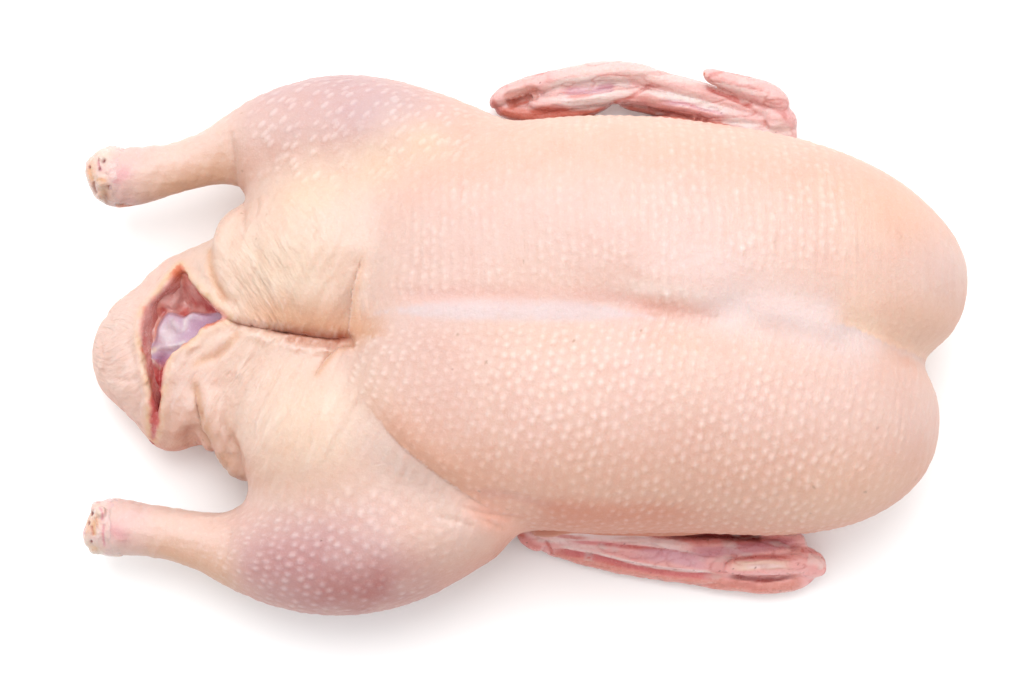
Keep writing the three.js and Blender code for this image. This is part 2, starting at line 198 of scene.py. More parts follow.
def keep_largest_body(piece):
    """Drops loose scraps, keeping the part of the mesh with the most points."""
    mesh = piece.data
    count = len(mesh.vertices)
    ends = np.empty(len(mesh.edges) * 2, np.int32)
    mesh.edges.foreach_get("vertices", ends)
    ends = ends.reshape(-1, 2)
    label = np.arange(count)
    while True:
        low = np.minimum(label[ends[:, 0]], label[ends[:, 1]])
        before = label.copy()
        np.minimum.at(label, ends[:, 0], low)
        np.minimum.at(label, ends[:, 1], low)
        label = label[label]
        if np.array_equal(label, before):
            break
    names, sizes = np.unique(label, return_counts=True)
    if len(names) == 1:
        return
    delete_points(piece, label != names[sizes.argmax()])


# Random values that are the same in every run.


def scramble(*numbers):
    """A steady random value from 0 to 1 for whole numbers."""
    mixed = np.zeros(np.broadcast(*numbers).shape, np.uint64)
    for number, prime in zip(numbers, (73856093, 19349663, 83492791, 49979687)):
        mixed = mixed ^ (np.asarray(number).astype(np.int64) * prime).astype(np.uint64)
        mixed = (mixed ^ (mixed >> np.uint64(13))) * np.uint64(0x5BD1E995)
        mixed = mixed & np.uint64(0xFFFFFFFF)
    return (mixed ^ (mixed >> np.uint64(15))).astype(float) / 0xFFFFFFFF


def noise(points, size, seed):
    """Smooth random values from -1 to 1 that change over the given size, one size or one each way."""
    scaled = points / np.asarray(size, float)
    cell = np.floor(scaled).astype(np.int64)
    part = scaled - cell
    part = part * part * (3 - 2 * part)
    total = np.zeros(len(points))
    for corner in range(8):
        step = np.array([corner & 1, (corner >> 1) & 1, corner >> 2])
        share = np.prod(np.where(step, part, 1 - part), axis=1)
        at = cell + step
        total += share * scramble(at[:, 0], at[:, 1], at[:, 2], seed)
    return 2 * total - 1


def rough(points, size, seed, layers=3):
    """Noise with finer and finer detail."""
    total = np.zeros(len(points))
    share = 1.0
    for layer in range(layers):
        total += share * noise(points, np.asarray(size, float) / 2**layer, seed + layer)
        share *= 0.5
    return total


def smooth_step(low, high, value):
    """0 up to low, 1 from high on, and a soft rise between them."""
    part = np.clip((value - low) / (high - low), 0, 1)
    return part * part * (3 - 2 * part)


def curved(path, steps=6):
    """A smooth curve through the points of a path."""
    path = np.asarray(path, float)
    ends = np.vstack([2 * path[0] - path[1], path, 2 * path[-1] - path[-2]])
    out = []
    for a, b, c, d in zip(ends, ends[1:], ends[2:], ends[3:]):
        bend = 2 * a - 5 * b + 4 * c - d
        twist = 3 * b - a - 3 * c + d
        for t in np.arange(steps) / steps:
            out.append(0.5 * (2 * b + (c - a) * t + bend * t**2 + twist * t**3))
    out.append(path[-1])
    return np.array(out)


# Points further than this from a path's box are not measured against it.
REACH = 45.0


def along(path, points):
    """How far points lie from a path, on which side, and how far along it, from 0 to 1.

    A path of [x, y] is taken as seen from above, and one of [x, y, z] in space. The left side
    counts as 1 and the right side as -1, looking along the path from above.
    """
    line = curved(path)
    every = points[:, : line.shape[1]]
    near = ((every > line.min(axis=0) - REACH) & (every < line.max(axis=0) + REACH)).all(axis=1)
    whole = np.full(len(points), 1e9), np.ones(len(points)), np.zeros(len(points))
    for field, found in zip(whole, along_line(line, every[near])):
        field[near] = found
    return whole


def along_line(line, flat):
    """The same for the straight pieces between the points of a line."""
    distance = np.full(len(flat), 1e9)
    side = np.ones(len(flat))
    share = np.zeros(len(flat))
    for n, (a, b) in enumerate(zip(line, line[1:])):
        way = b - a
        length = way @ way
        if length < 1e-9:
            continue
        t = np.clip((flat - a) @ way / length, 0, 1)
        off = flat - a - t[:, None] * way
        d = np.sqrt((off**2).sum(axis=1))
        near = d < distance
        distance[near] = d[near]
        turn = way[0] * off[:, 1] - way[1] * off[:, 0]
        side[near] = np.where(turn[near] >= 0, 1, -1)
        share[near] = (n + t[near]) / (len(line) - 1)
    return distance, side, share


def bell(distance, width):
    """1 on a line, soft beside it and gone at twice the width."""
    return np.exp(-((distance / width) ** 2))


def waves(place, pitch):
    """Even waves from 0 to 1."""
    return 0.5 - 0.5 * np.cos(2 * math.pi * place / pitch)


def fading(share, ends=0.25):
    """Full in the middle of a path and gone at both ends."""
    return smooth_step(0, ends, share) * smooth_step(0, ends, 1 - share)


class Clay:
    """A piece's points in millimetres, while it is shaped and coloured.

    Each point has a tint, and marks from 0 to 1 for the material: pimple on a follicle's bump, raw
    where it is wet flesh, and wrinkle where the skin is finely creased along its lay. Values that
    shaping keeps for colouring are in kept.
    """

    def __init__(self, piece, tint):
        self.piece = piece
        self.mesh = piece.data
        count = len(self.mesh.vertices)
        flat = np.empty(count * 3, np.float32)
        self.mesh.vertices.foreach_get("co", flat)
        self.at = flat.reshape(-1, 3).astype(float) / MM
        ends = np.empty(len(self.mesh.edges) * 2, np.int32)
        self.mesh.edges.foreach_get("vertices", ends)
        self.ends = ends.reshape(-1, 2)
        self.links = np.bincount(self.ends.ravel(), minlength=count)
        self.tint = np.tile(tint, (count, 1))
        self.pimple = np.zeros(count)
        self.raw = np.zeros(count)
        self.wrinkle = np.full(count, 0.4)
        self.lay = self.at / 3.0
        self.kept = {}

    def write(self):
        """Puts the points back in the mesh."""
        self.mesh.vertices.foreach_set("co", (self.at * MM).astype(np.float32).ravel())
        self.mesh.update()

    def facing(self):
        """Each point's outward direction."""
        self.write()
        flat = np.empty(len(self.at) * 3, np.float32)
        self.mesh.vertices.foreach_get("normal", flat)
        return flat.reshape(-1, 3).astype(float)

    def spread(self, field):
        """Each point's mean over its neighbours."""
        a, b = self.ends[:, 0], self.ends[:, 1]
        count = len(self.at)
        columns = field.reshape(count, -1)
        out = np.empty_like(columns)
        for n in range(columns.shape[1]):
            column = columns[:, n]
            total = np.bincount(a, column[b], count) + np.bincount(b, column[a], count)
            out[:, n] = total / self.links
        return out.reshape(field.shape)

    def ease(self, rounds, weight=None):
        """Smooths the form, then gives back what smoothing shrank."""
        weight = np.ones(len(self.at)) if weight is None else weight
        soft = self.at
        for _ in range(rounds):
            soft = soft + 0.5 * weight[:, None] * (self.spread(soft) - soft)
        lost = self.at - soft
        for _ in range(rounds):
            lost = lost + 0.5 * (self.spread(lost) - lost)
        self.at = soft + weight[:, None] * lost

    def soften(self, field, rounds):
        """A field of values, evened out between neighbours."""
        for _ in range(rounds):
            field = 0.5 * (field + self.spread(field))
        return field

    def hollow(self, rounds):
        """How deep each point lies below the mean of its surroundings, below nought on a crest."""
        away = self.soften(self.at, rounds) - self.at
        return (away * self.facing()).sum(axis=1)

    def push(self, amount, way=None):
        """Moves points outwards, or along a given way."""
        way = self.facing() if way is None else np.asarray(way, float)
        self.at = self.at + amount[:, None] * way

    def mark(self, path, width, height, where=1.0, ends=0.25, way=None):
        """One long soft mark: a ridge where the height is above nought, a groove where below."""
        distance, _, share = along(path, self.at)
        self.push(height * bell(distance, width) * fading(share, ends) * where, way)

    def overlap(self, path, width, height, over, where=1.0, ends=0.25):
        """A fold: the path's left side swells and lies over its right side, which dips."""
        distance, side, share = along(path, self.at)
        near = bell(distance, width) * fading(share, ends) * where
        left = side > 0
        self.push(np.where(left, height * near, -height * 0.6 * near))
        line = curved(path)
        start, end = line[0], line[-1]
        way = np.array([end[1] - start[1], start[0] - end[0]])
        way = way / np.linalg.norm(way)
        self.push(np.where(left, over * near, 0), (way[0], way[1], 0))

    def paint(self, tint, strength):
        """Mixes a tint in, by a strength from 0 to 1."""
        strength = np.clip(strength, 0, 1) * np.ones(len(self.at))
        strength = strength[:, None]
        self.tint = self.tint + strength * (tint - self.tint)

    def streak(self, tint, path, width, strength, ends, where=1.0):
        """Paints a soft streak along a path, fading out at both ends."""
        distance, _, share = along(path, self.at)
        self.paint(tint, strength * bell(distance, width) * fading(share, ends) * where)

    def patch(self, centre, radii, turn=0.0):
        """A soft patch seen from above: 1 at its centre and gone past its radii."""
        x = self.at[:, 0] - centre[0]
        y = self.at[:, 1] - centre[1]
        c, s = math.cos(math.radians(turn)), math.sin(math.radians(turn))
        u, v = (c * x + s * y) / radii[0], (c * y - s * x) / radii[1]
        return np.exp(-(u * u + v * v))

    def finish(self):
        """Writes the points, the tint and the other marks that the material reads."""
        self.write()
        count = len(self.at)
        tint = self.mesh.attributes.new("tint", "FLOAT_COLOR", "POINT")
        opaque = np.hstack([self.tint, np.ones((count, 1))])
        tint.data.foreach_set("color", opaque.astype(np.float32).ravel())
        for name in ("pimple", "raw", "wrinkle"):
            mark = self.mesh.attributes.new(name, "FLOAT", "POINT")
            mark.data.foreach_set("value", getattr(self, name).astype(np.float32))
        lay = self.mesh.attributes.new("lay", "FLOAT_VECTOR", "POINT")
        lay.data.foreach_set("vector", self.lay.astype(np.float32).ravel())
        work_on(self.piece)
        bpy.ops.object.shade_smooth()


def dots(u, v, pitch_u, pitch_v, jitter, radius, seed, stagger=0.5):
    """Round dots on an uneven lattice over flat coordinates: their height from 0 to 1."""
    column = np.floor(u / pitch_u).astype(np.int64)
    height = np.zeros(len(u))
    for step_u in (-1, 0, 1):
        at_u = column + step_u
        shift = stagger * (at_u % 2)
        row = np.floor(v / pitch_v - shift).astype(np.int64)
        for step_v in (-1, 0, 1):
            at_v = row + step_v
            du = (at_u + 0.5 + jitter * (scramble(at_u, at_v, seed) - 0.5)) * pitch_u - u
            dv = (at_v + 0.5 + shift + jitter * (scramble(at_v, at_u, seed + 5) - 0.5)) * pitch_v - v
            size = 0.55 + 0.45 * scramble(at_u, at_v, seed + 9)
            height = np.maximum(height, size * np.exp(-(du * du + dv * dv) / radius**2))
    return height


def dots_in_space(points, pitch, jitter, radius, seed):
    """Round dots wherever an uneven lattice in space meets the skin: their height from 0 to 1."""
    cell = np.floor(points / pitch).astype(np.int64)
    height = np.zeros(len(points))
    for step in np.ndindex(3, 3, 3):
        at = cell + np.array(step) - 1
        shift = np.column_stack([scramble(*at.T, seed + axis) for axis in range(3)])
        middle = (at + 0.5 + jitter * (shift - 0.5)) * pitch
        away = ((points - middle) ** 2).sum(axis=1)
        height = np.maximum(height, np.exp(-away / radius**2))
    return smooth_step(0.1, 0.8, height)


# Materials.


def set_inputs(node, **values):
    """Sets a node's sockets, named with an underscore for each space."""
    for name, value in values.items():
        node.inputs[name.replace("_", " ")].default_value = value


def flesh_material(name, roughness, depth, grain, speckle, coat):
    """Moist skin or flesh: its tint from the piece, mottled, with fine grain.

    Light goes into it as deep as the depth, in millimetres.
    """
    material = bpy.data.materials.new(name)
    material.use_nodes = True
    nodes, links = material.node_tree.nodes, material.node_tree.links
    shader = nodes["Principled BSDF"]
    set_inputs(shader, Subsurface_Weight=0.35, Subsurface_Radius=(1.0, 0.42, 0.28))
    set_inputs(shader, Subsurface_Scale=depth * MM, Coat_Weight=coat, Coat_Roughness=0.28, IOR=1.4)
    place = nodes.new("ShaderNodeTexCoord").outputs["Object"]

    def mark(name, output="Fac"):
        """What the piece carries under this name."""
        node = nodes.new("ShaderNodeAttribute")
        node.attribute_name = name
        return node.outputs[output]

    def cloud(source, scale, detail):
        node = nodes.new("ShaderNodeTexNoise")
        set_inputs(node, Scale=scale, Detail=detail)
        links.new(source, node.inputs["Vector"])
        return node.outputs["Fac"]

    def mixed(kind, factor, under, over):
        node = nodes.new("ShaderNodeMix")
        node.data_type = "RGBA"
        node.blend_type = kind
        links.new(factor, node.inputs[0])
        links.new(under, node.inputs[6])
        node.inputs[7].default_value = (*over, 1)
        return node.outputs[2]

    def ramp(source, low, high, start=0.0, end=1.0):
        node = nodes.new("ShaderNodeMapRange")
        set_inputs(node, From_Min=low, From_Max=high, To_Min=start, To_Max=end)
        links.new(source, node.inputs["Value"])
        return node.outputs["Result"]

    def sum_or_product(operation, first, second, third=None):
        node = nodes.new("ShaderNodeMath")
        node.operation = operation
        for socket, value in zip(node.inputs, (first, second, third)):
            if isinstance(value, float):
                socket.default_value = value
            elif value is not None:
                links.new(value, socket)
        return node.outputs[0]

    def bump(height, strength, distance, under=None):
        node = nodes.new("ShaderNodeBump")
        set_inputs(node, Strength=strength, Distance=distance)
        links.new(height, node.inputs["Height"])
        if under is not None:
            links.new(under, node.inputs["Normal"])
        return node.outputs["Normal"]

    mottle = cloud(place, 55, 5)
    blotch = cloud(place, 420, 3)
    fine = cloud(place, 1400, 3)
    crinkle = cloud(mark("lay", "Vector"), 1.0, 2.5)
    wrinkles = sum_or_product("MULTIPLY", ramp(crinkle, 0.3, 0.7, -1.0, 1.0), mark("wrinkle"))
    base = mark("tint", "Color")
    for kind, factor, over in (
        ("MULTIPLY", ramp(mottle, 0.45, 0.75, 0.0, speckle), (0.93, 0.83, 0.8)),
        ("MULTIPLY", ramp(blotch, 0.5, 0.8, 0.0, speckle), (0.93, 0.85, 0.8)),
        ("SCREEN", ramp(fine, 0.55, 0.8, 0.0, 0.12), (0.8, 0.72, 0.68)),
        ("SCREEN", ramp(mark("pimple"), 0.25, 0.9, 0.0, 0.16), (0.7, 0.6, 0.54)),
        # The wrinkles' troughs are darkened and their crests lightened: painted shade and painted
        # highlight in the fine creases.
        ("MULTIPLY", ramp(wrinkles, -0.15, -0.9, 0.0, 0.45), (0.95, 0.84, 0.78)),
        ("SCREEN", ramp(wrinkles, 0.2, 0.9, 0.0, 0.14), (0.8, 0.72, 0.68)),
    ):
        base = mixed(kind, factor, base, over)
    links.new(base, shader.inputs["Base Color"])

    dryness = ramp(blotch, 0.3, 0.7, roughness + 0.07, roughness - 0.07)
    links.new(sum_or_product("MULTIPLY_ADD", mark("raw"), -0.2, dryness), shader.inputs["Roughness"])

    relief = bump(fine, grain, 0.0005)
    relief = bump(blotch, grain, 0.0012, relief)
    relief = bump(wrinkles, 0.8, 0.0005, relief)
    links.new(relief, shader.inputs["Normal"])
    return material


def table_material():
    """A white table top, very faintly clouded."""
    material = bpy.data.materials.new("white_table")
    material.use_nodes = True
    nodes, links = material.node_tree.nodes, material.node_tree.links
    shader = nodes["Principled BSDF"]
    set_inputs(shader, Roughness=0.75)
    place = nodes.new("ShaderNodeTexCoord")
    cloud = nodes.new("ShaderNodeTexNoise")
    set_inputs(cloud, Scale=3)
    links.new(place.outputs["Object"], cloud.inputs["Vector"])
    tone = nodes.new("ShaderNodeMapRange")
    set_inputs(tone, To_Min=0.93, To_Max=0.95)
    links.new(cloud.outputs["Fac"], tone.inputs["Value"])
    links.new(tone.outputs["Result"], shader.inputs["Base Color"])
    return material


# Limbs and bodies.


def limb(stations, sides=12, run="X"):
    """A rounded closed limb, drawn out ring by ring along X or Y.

    Its stations are [x, y, z, half width, half height].
    """
    lengthways = run == "X"
    x, y, z, wide, high = stations[0]
    bpy.ops.mesh.primitive_circle_add(
        vertices=sides,
        radius=MM,
        fill_type="NGON",
        location=(x * MM, y * MM, z * MM),
        rotation=(0, math.pi / 2, 0) if lengthways else (math.pi / 2, 0, 0),
    )
    piece = bpy.context.object
    bpy.ops.object.transform_apply(location=True, rotation=True)
    bpy.ops.object.mode_set(mode="EDIT")
    bpy.ops.mesh.select_all(action="SELECT")
    spread = (1, wide, high) if lengthways else (wide, 1, high)
    bpy.ops.transform.resize(value=spread, center_override=(x * MM, y * MM, z * MM))
    for (x0, y0, z0, wide0, high0), (x1, y1, z1, wide1, high1) in zip(stations, stations[1:]):
        step = ((x1 - x0) * MM, (y1 - y0) * MM, (z1 - z0) * MM)
        bpy.ops.mesh.extrude_region_move(TRANSFORM_OT_translate={"value": step})
        wider, higher = wide1 / wide0, high1 / high0
        grow = (1, wider, higher) if lengthways else (wider, 1, higher)
        bpy.ops.transform.resize(value=grow, center_override=(x1 * MM, y1 * MM, z1 * MM))
    bpy.ops.mesh.select_all(action="SELECT")
    bpy.ops.mesh.normals_make_consistent(inside=False)
    bpy.ops.object.mode_set(mode="OBJECT")
    apply_modifier(piece, "SUBSURF", levels=2, render_levels=2)
    clear_selection()
    return piece


def fused(name, limbs, voxel):
    """One closed body from limbs that run into each other."""
    clear_selection()
    for piece in limbs:
        piece.select_set(True)
    bpy.context.view_layer.objects.active = limbs[0]
    bpy.ops.object.join()
    whole = bpy.context.object
    whole.name = name
    apply_modifier(whole, "REMESH", mode="VOXEL", voxel_size=voxel * MM)
    keep_largest_body(whole)
    return whole


# The skin: the solid's own form, made fine, then folded, pimpled and coloured.


# The wings' middle lines, from which the skin is parted, because each wing is a finer piece.
WING_LINES = (
    [(122, 92, 14), (60, 90, 12), (0, 86, 11)],
    [(122, 101, 14), (79, 105, 14), (47, 115, 14), (14, 110, 12), (-14, 106, 11)],
    [(132, -101, 14), (62, -95, 13), (0, -89, 12)],
    [(132, -104, 12), (84, -107, 10), (52, -103, 9), (0, -92, 9)],
)
WING_REACH = 12.5

# The vent's outline, seen from above: the tail's side, then the flap's side.
TAIL_LIP = [
    (-149, 27), (-153, 22), (-159.5, 13), (-164, 8), (-165, 1), (-165, -6), (-163, -12), (-161.5, -21),
    (-160, -29), (-161.5, -39), (-161.5, -47),
]
FLAP_LIP = [
    (-160, -48), (-158.2, -41), (-157, -33), (-155.5, -26), (-154.5, -19), (-153, -13), (-150, -9),
    (-144, -7), (-141, -3), (-135.5, 0), (-130, 2), (-126, 3),
]
THIGH_LIP = [(-126, 4), (-131, 6.5), (-136, 11.5), (-142, 17), (-146, 22), (-149, 27)]

# Folds and edges, seen from above: along the keel, across the breast's rear, then by the legs.
BELLY_CREASE = [(-128, 3), (-112, 0), (-95, -3), (-69, -7)]
BREAST_REAR = [
    (-61, 36), (-67, 23), (-69, 12), (-70, 0), (-69, -11), (-63, -26), (-51, -47), (-30, -68),
    (-12, -82),
]
UPPER_VALLEY = [(-69, 12), (-65, 35), (-55, 49), (-43, 64), (-22, 86)]
KEEL_RIDGE = [(-62, 2), (-42, 1.6), (-18, 1), (10, 0.5), (36, -0.5), (54, -2.5)]
KEEL_GROOVE = [(24, 5.5), (44, 3.5), (60, 0.5), (76, -1.5), (90, -2.5)]
KEEL_PLATEAU = [(84, 2), (100, 0.5), (114, -2), (126, -5), (136, -7)]
KEEL_SIDE = [(-60, 9), (-30, 8), (5, 7)]
KEEL_SHADE = [(-58, 8), (-30, 7.5), (0, 7), (30, 6.5), (54, 4)]
KEEL_SLOPE = [(44, 9), (66, 8), (90, 5)]
SLOPE_GLEAM = [(30, 12.5), (48, 9.5), (64, 7.5), (76, 6), (90, 4.5)]
GROOVE_FLUSH = [(36, 4), (48, 2.8), (62, 0.8), (74, -1.2), (87, -3.2)]
LOBE_PARTING = [(122, -4), (134, -5), (143, -8), (152, -11), (161, -13), (172, -15), (184, -18)]
BELLY_SWELL = [(-118, 12), (-100, 9), (-84, 6), (-74, 4)]
BREAST_LIP = [(-66, 30), (-68.5, 20), (-70.5, 10), (-71, 0), (-71, -7), (-70, -14)]
CREASE_TROUGH = [(-104, -5), (-94, -7.5), (-84, -9), (-75, -10)]
CREASE_LIP = [(-122, -3), (-112, -6), (-102, -8.5), (-93, -11), (-84, -12.5), (-76, -13.5)]
FLAP_GROOVE = [(-120.5, -1), (-123.5, -6.5), (-129.5, -12.5), (-137.5, -15.5), (-143, -18.5)]
LEFT_FOLD = [(-141, -22), (-138.7, -31), (-137.2, -38), (-135.6, -45), (-134, -51)]
LEFT_FOLD_INNER = [(-128, -38), (-126, -46), (-122.5, -54), (-119.5, -62)]
CORNER_FOLD = [(-69, -11), (-79, -13), (-89, -25)]
THIGH_EDGE = [
    (-71, -28), (-61.5, -40.6), (-51, -53), (-40.6, -61.5), (-30, -69), (-20, -75.7), (-9.7, -80.5),
    (-2, -84.5),
]
ARM_FOLD = [(-24, -72), (-12, -73.4), (-1.4, -75.4), (9, -78.3), (19, -80.5)]
WING_SEAM = [(20, -87), (40, -89), (62, -91)]
LOW_EDGE = [(-4, -83), (20, -85), (50, -86.5), (86, -85)]
TAIL_COLLAR = [(-149, 34), (-158, 29), (-168, 20), (-173, 6), (-174, -8), (-172, -22), (-169, -35)]
HOCK_EDGES = (
    [(-178.5, 62.5), (-175, 64), (-172, 66)],
    [(-180, -85.7), (-176, -87), (-172, -89.5)],
)
RIGHT_BULGE_EDGE = [(-135.5, 36), (-134.5, 30), (-133, 22), (-129, 14), (-125, 8)]

# Wrinkles of the legs and the armpit, each with its depth.
LEG_WRINKLES = (
    ([(-121, 55), (-120, 48), (-119.5, 41), (-118.5, 36)], 0.9),
    ([(-114, 58), (-113.5, 50), (-114, 43)], 0.6),
    ([(-126, 88), (-125.5, 80), (-124.5, 72), (-124.5, 65), (-122, 57)], 1.0),
    ([(-128, -104), (-126, -97), (-125, -90), (-125, -83)], 0.8),
    ([(-131, -44), (-128, -52), (-124, -60)], 0.7),
    ([(-29, -77), (-18, -81), (-8, -82.5), (4, -84)], 1.0),
    ([(-22, -81), (-14, -85), (-6, -88)], 0.9),
    ([(-40, -82), (-28, -84), (-18, -88)], 0.7),
)

# Rolls of skin laid over the body, and beds that fill the cuts under them.
CREASE_BEDS = (
    [
        (-127, 1.5, 56, 3, 3.5), (-112, -1, 57, 4.5, 5), (-95, -4, 60, 4.5, 5.5),
        (-78, -6, 62.5, 4.5, 6), (-66, -7, 66, 4, 5),
    ],
    [(-88, -23, 66, 3.5, 4), (-79, -13, 64, 3.5, 5), (-70, -11, 67, 3, 4)],
)
SKIN_ROLLS = (
    # The bed of the cut between the flap and the left thigh.
    [
        (-142, -21, 48, 3, 4), (-141, -30, 46, 4, 5), (-139.5, -38, 43, 4, 5), (-137.5, -46, 38, 4, 5),
        (-135, -53, 30, 3, 5),
    ],
    # The end of the right thigh's bulge.
    [
        (-119, 55, 42, 4, 6), (-123, 49, 47, 6.5, 8), (-126.5, 42, 51, 7, 9), (-128, 35, 53.5, 6.5, 9),
        (-127, 27, 54.5, 6, 8.5), (-124.5, 19, 55, 5.5, 8), (-121, 12, 55, 4.5, 7),
    ],
    # The flap that is the vent's lower lip.
    [
        (-128, -0.5, 55.5, 3, 3.5), (-134, -5, 54, 4.5, 4.5), (-140.5, -9.5, 52.5, 5, 5),
        (-146, -15.5, 50, 5, 5), (-149.5, -22, 47.5, 5, 5), (-151.5, -30, 44.5, 5, 5),
        (-153, -38, 40, 4.5, 5), (-154.5, -44.5, 34, 3.5, 4.5),
    ],
    # The loose skin between the tail and the left leg.
    [
        (-134.5, -24, 52, 4, 4.5), (-132.5, -31, 52, 5, 5.5), (-131, -38, 50, 5.5, 6.5),
        (-129.5, -46, 45.5, 6.5, 7.5), (-127, -53, 38.5, 7, 8), (-123.5, -60, 33, 7, 8),
        (-119.5, -66, 30, 5, 7),
    ],
)


def part_from_wings(piece):
    """Takes the wings' faces off the skin and closes the holes."""
    clay = Clay(piece, PALE_SKIN)
    gone = np.zeros(len(clay.at), bool)
    for line in WING_LINES:
        distance, _, _ = along(line, clay.at)
        gone |= distance < WING_REACH
    delete_points(piece, gone)
    keep_largest_body(piece)
    work_on(piece)
    bpy.ops.object.mode_set(mode="EDIT")
    bpy.ops.mesh.select_all(action="SELECT")
    bpy.ops.mesh.fill_holes(sides=0)
    bpy.ops.mesh.select_all(action="SELECT")
    bpy.ops.mesh.normals_make_consistent(inside=False)
    bpy.ops.object.mode_set(mode="OBJECT")


def skin_piece():
    """The whole skin without the wings, from the solid's own faces."""
    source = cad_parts["duck"]
    piece = bpy.data.objects.new("duck_skin", source.data.copy())
    bpy.context.collection.objects.link(piece)
    work_on(piece)
    bpy.ops.object.mode_set(mode="EDIT")
    bpy.ops.mesh.select_all(action="SELECT")
    bpy.ops.mesh.remove_doubles(threshold=0.01 * MM)
    bpy.ops.object.mode_set(mode="OBJECT")
    part_from_wings(piece)
    piece = fused("duck_skin", [piece] + [limb(run) for run in CREASE_BEDS], FORM_VOXEL)
    clay = Clay(piece, PALE_SKIN)
    even_out(clay)
    trim_hind(clay)
    clay.write()
    piece = fused("duck_skin", [piece] + [limb(run, 12, "Y") for run in SKIN_ROLLS], SKIN_VOXEL)
    clay = Clay(piece, PALE_SKIN)
    blend_rolls(clay)
    shape_folds(clay)
    shape_vent(clay)
    texture_skin(clay)
    colour_skin(clay)
    colour_vent(clay)
    clay.at[:, 2] = np.maximum(clay.at[:, 2], 0)
    clay.finish()
    thin_out(piece)
    return piece


def thin_out(piece):
    """Fewer faces where the skin is plain, first underneath, then all over."""
    mesh = piece.data
    normals = np.empty(len(mesh.polygons) * 3, np.float32)
    mesh.polygons.foreach_get("normal", normals)
    under = normals.reshape(-1, 3)[:, 2] < -0.25
    work_on(piece)
    bpy.ops.object.mode_set(mode="EDIT")
    bpy.ops.mesh.select_mode(type="FACE")
    bpy.ops.mesh.select_all(action="DESELECT")
    bpy.ops.object.mode_set(mode="OBJECT")
    mesh.polygons.foreach_set("select", under)
    bpy.ops.object.mode_set(mode="EDIT")
    bpy.ops.mesh.decimate(ratio=BACK_SHARE)
    bpy.ops.object.mode_set(mode="OBJECT")
    triangles = sum(len(face.vertices) - 2 for face in piece.data.polygons)
    if triangles > SKIN_TRIANGLES:
        apply_modifier(piece, "DECIMATE", ratio=SKIN_TRIANGLES / triangles)


def even_out(clay):
    """Smooths the facets away, less where the form is fine."""
    x, _, z = clay.at.T
    hind = smooth_step(-60, -130, x)
    folds = np.zeros(len(clay.at))
    for path in (BELLY_CREASE, CORNER_FOLD):
        distance, _, _ = along(path, clay.at)
        folds = np.maximum(folds, smooth_step(9, 5, distance) * (z > UPPER_SIDE))
    vent = smooth_step(8, 3, vent_distance(clay.at)) * (z > 8)
    hocks = smooth_step(-172, -180, x)
    fine = np.maximum(vent, hocks)
    rounds = 70
    clay.ease(rounds, (1 - fine) * np.maximum(1 - 0.75 * hind, folds))
    clay.ease(6)


def trim_hind(clay):
    """Draws in the corner between the tail and the left thigh, and the skin at the cut hocks."""
    clay.push(5.5 * clay.patch((-142, -51), (9, 7)), (0, 1, 0))
    for y, z in ((66.4, 42), (-86, 31)):
        off = clay.at[:, 1:] - (y, z)
        reach = np.linalg.norm(off, axis=1)
        drawn = smooth_step(-177.5, -181.5, clay.at[:, 0]) * (reach < 20)
        clay.at[:, 1:] -= off * (0.22 * drawn)[:, None]


def blend_rolls(clay):
    """Lets the rolls run softly into the body, apart from their free sides."""
    clay.ease(3)
    soft = np.maximum(clay.patch((-119, 34), (9, 26)), clay.patch((-122, -40), (7, 24), 10))
    clay.ease(14, np.clip(1.3 * soft, 0, 1))


def vent_distance(points):
    """How far points lie outside the vent's outline, seen from above, below nought inside it."""
    ring = curved(TAIL_LIP + FLAP_LIP[1:] + THIGH_LIP[1:], 2)
    distance, _, _ = along(ring, points)
    inside = np.zeros(len(points), bool)
    for (x0, y0), (x1, y1) in zip(ring, np.roll(ring, -1, axis=0)):
        crosses = (y0 > points[:, 1]) != (y1 > points[:, 1])
        reach = x0 + (points[:, 1] - y0) * (x1 - x0) / (y1 - y0 + 1e-9)
        inside ^= crosses & (points[:, 0] < reach)
    return np.where(inside, -distance, distance)


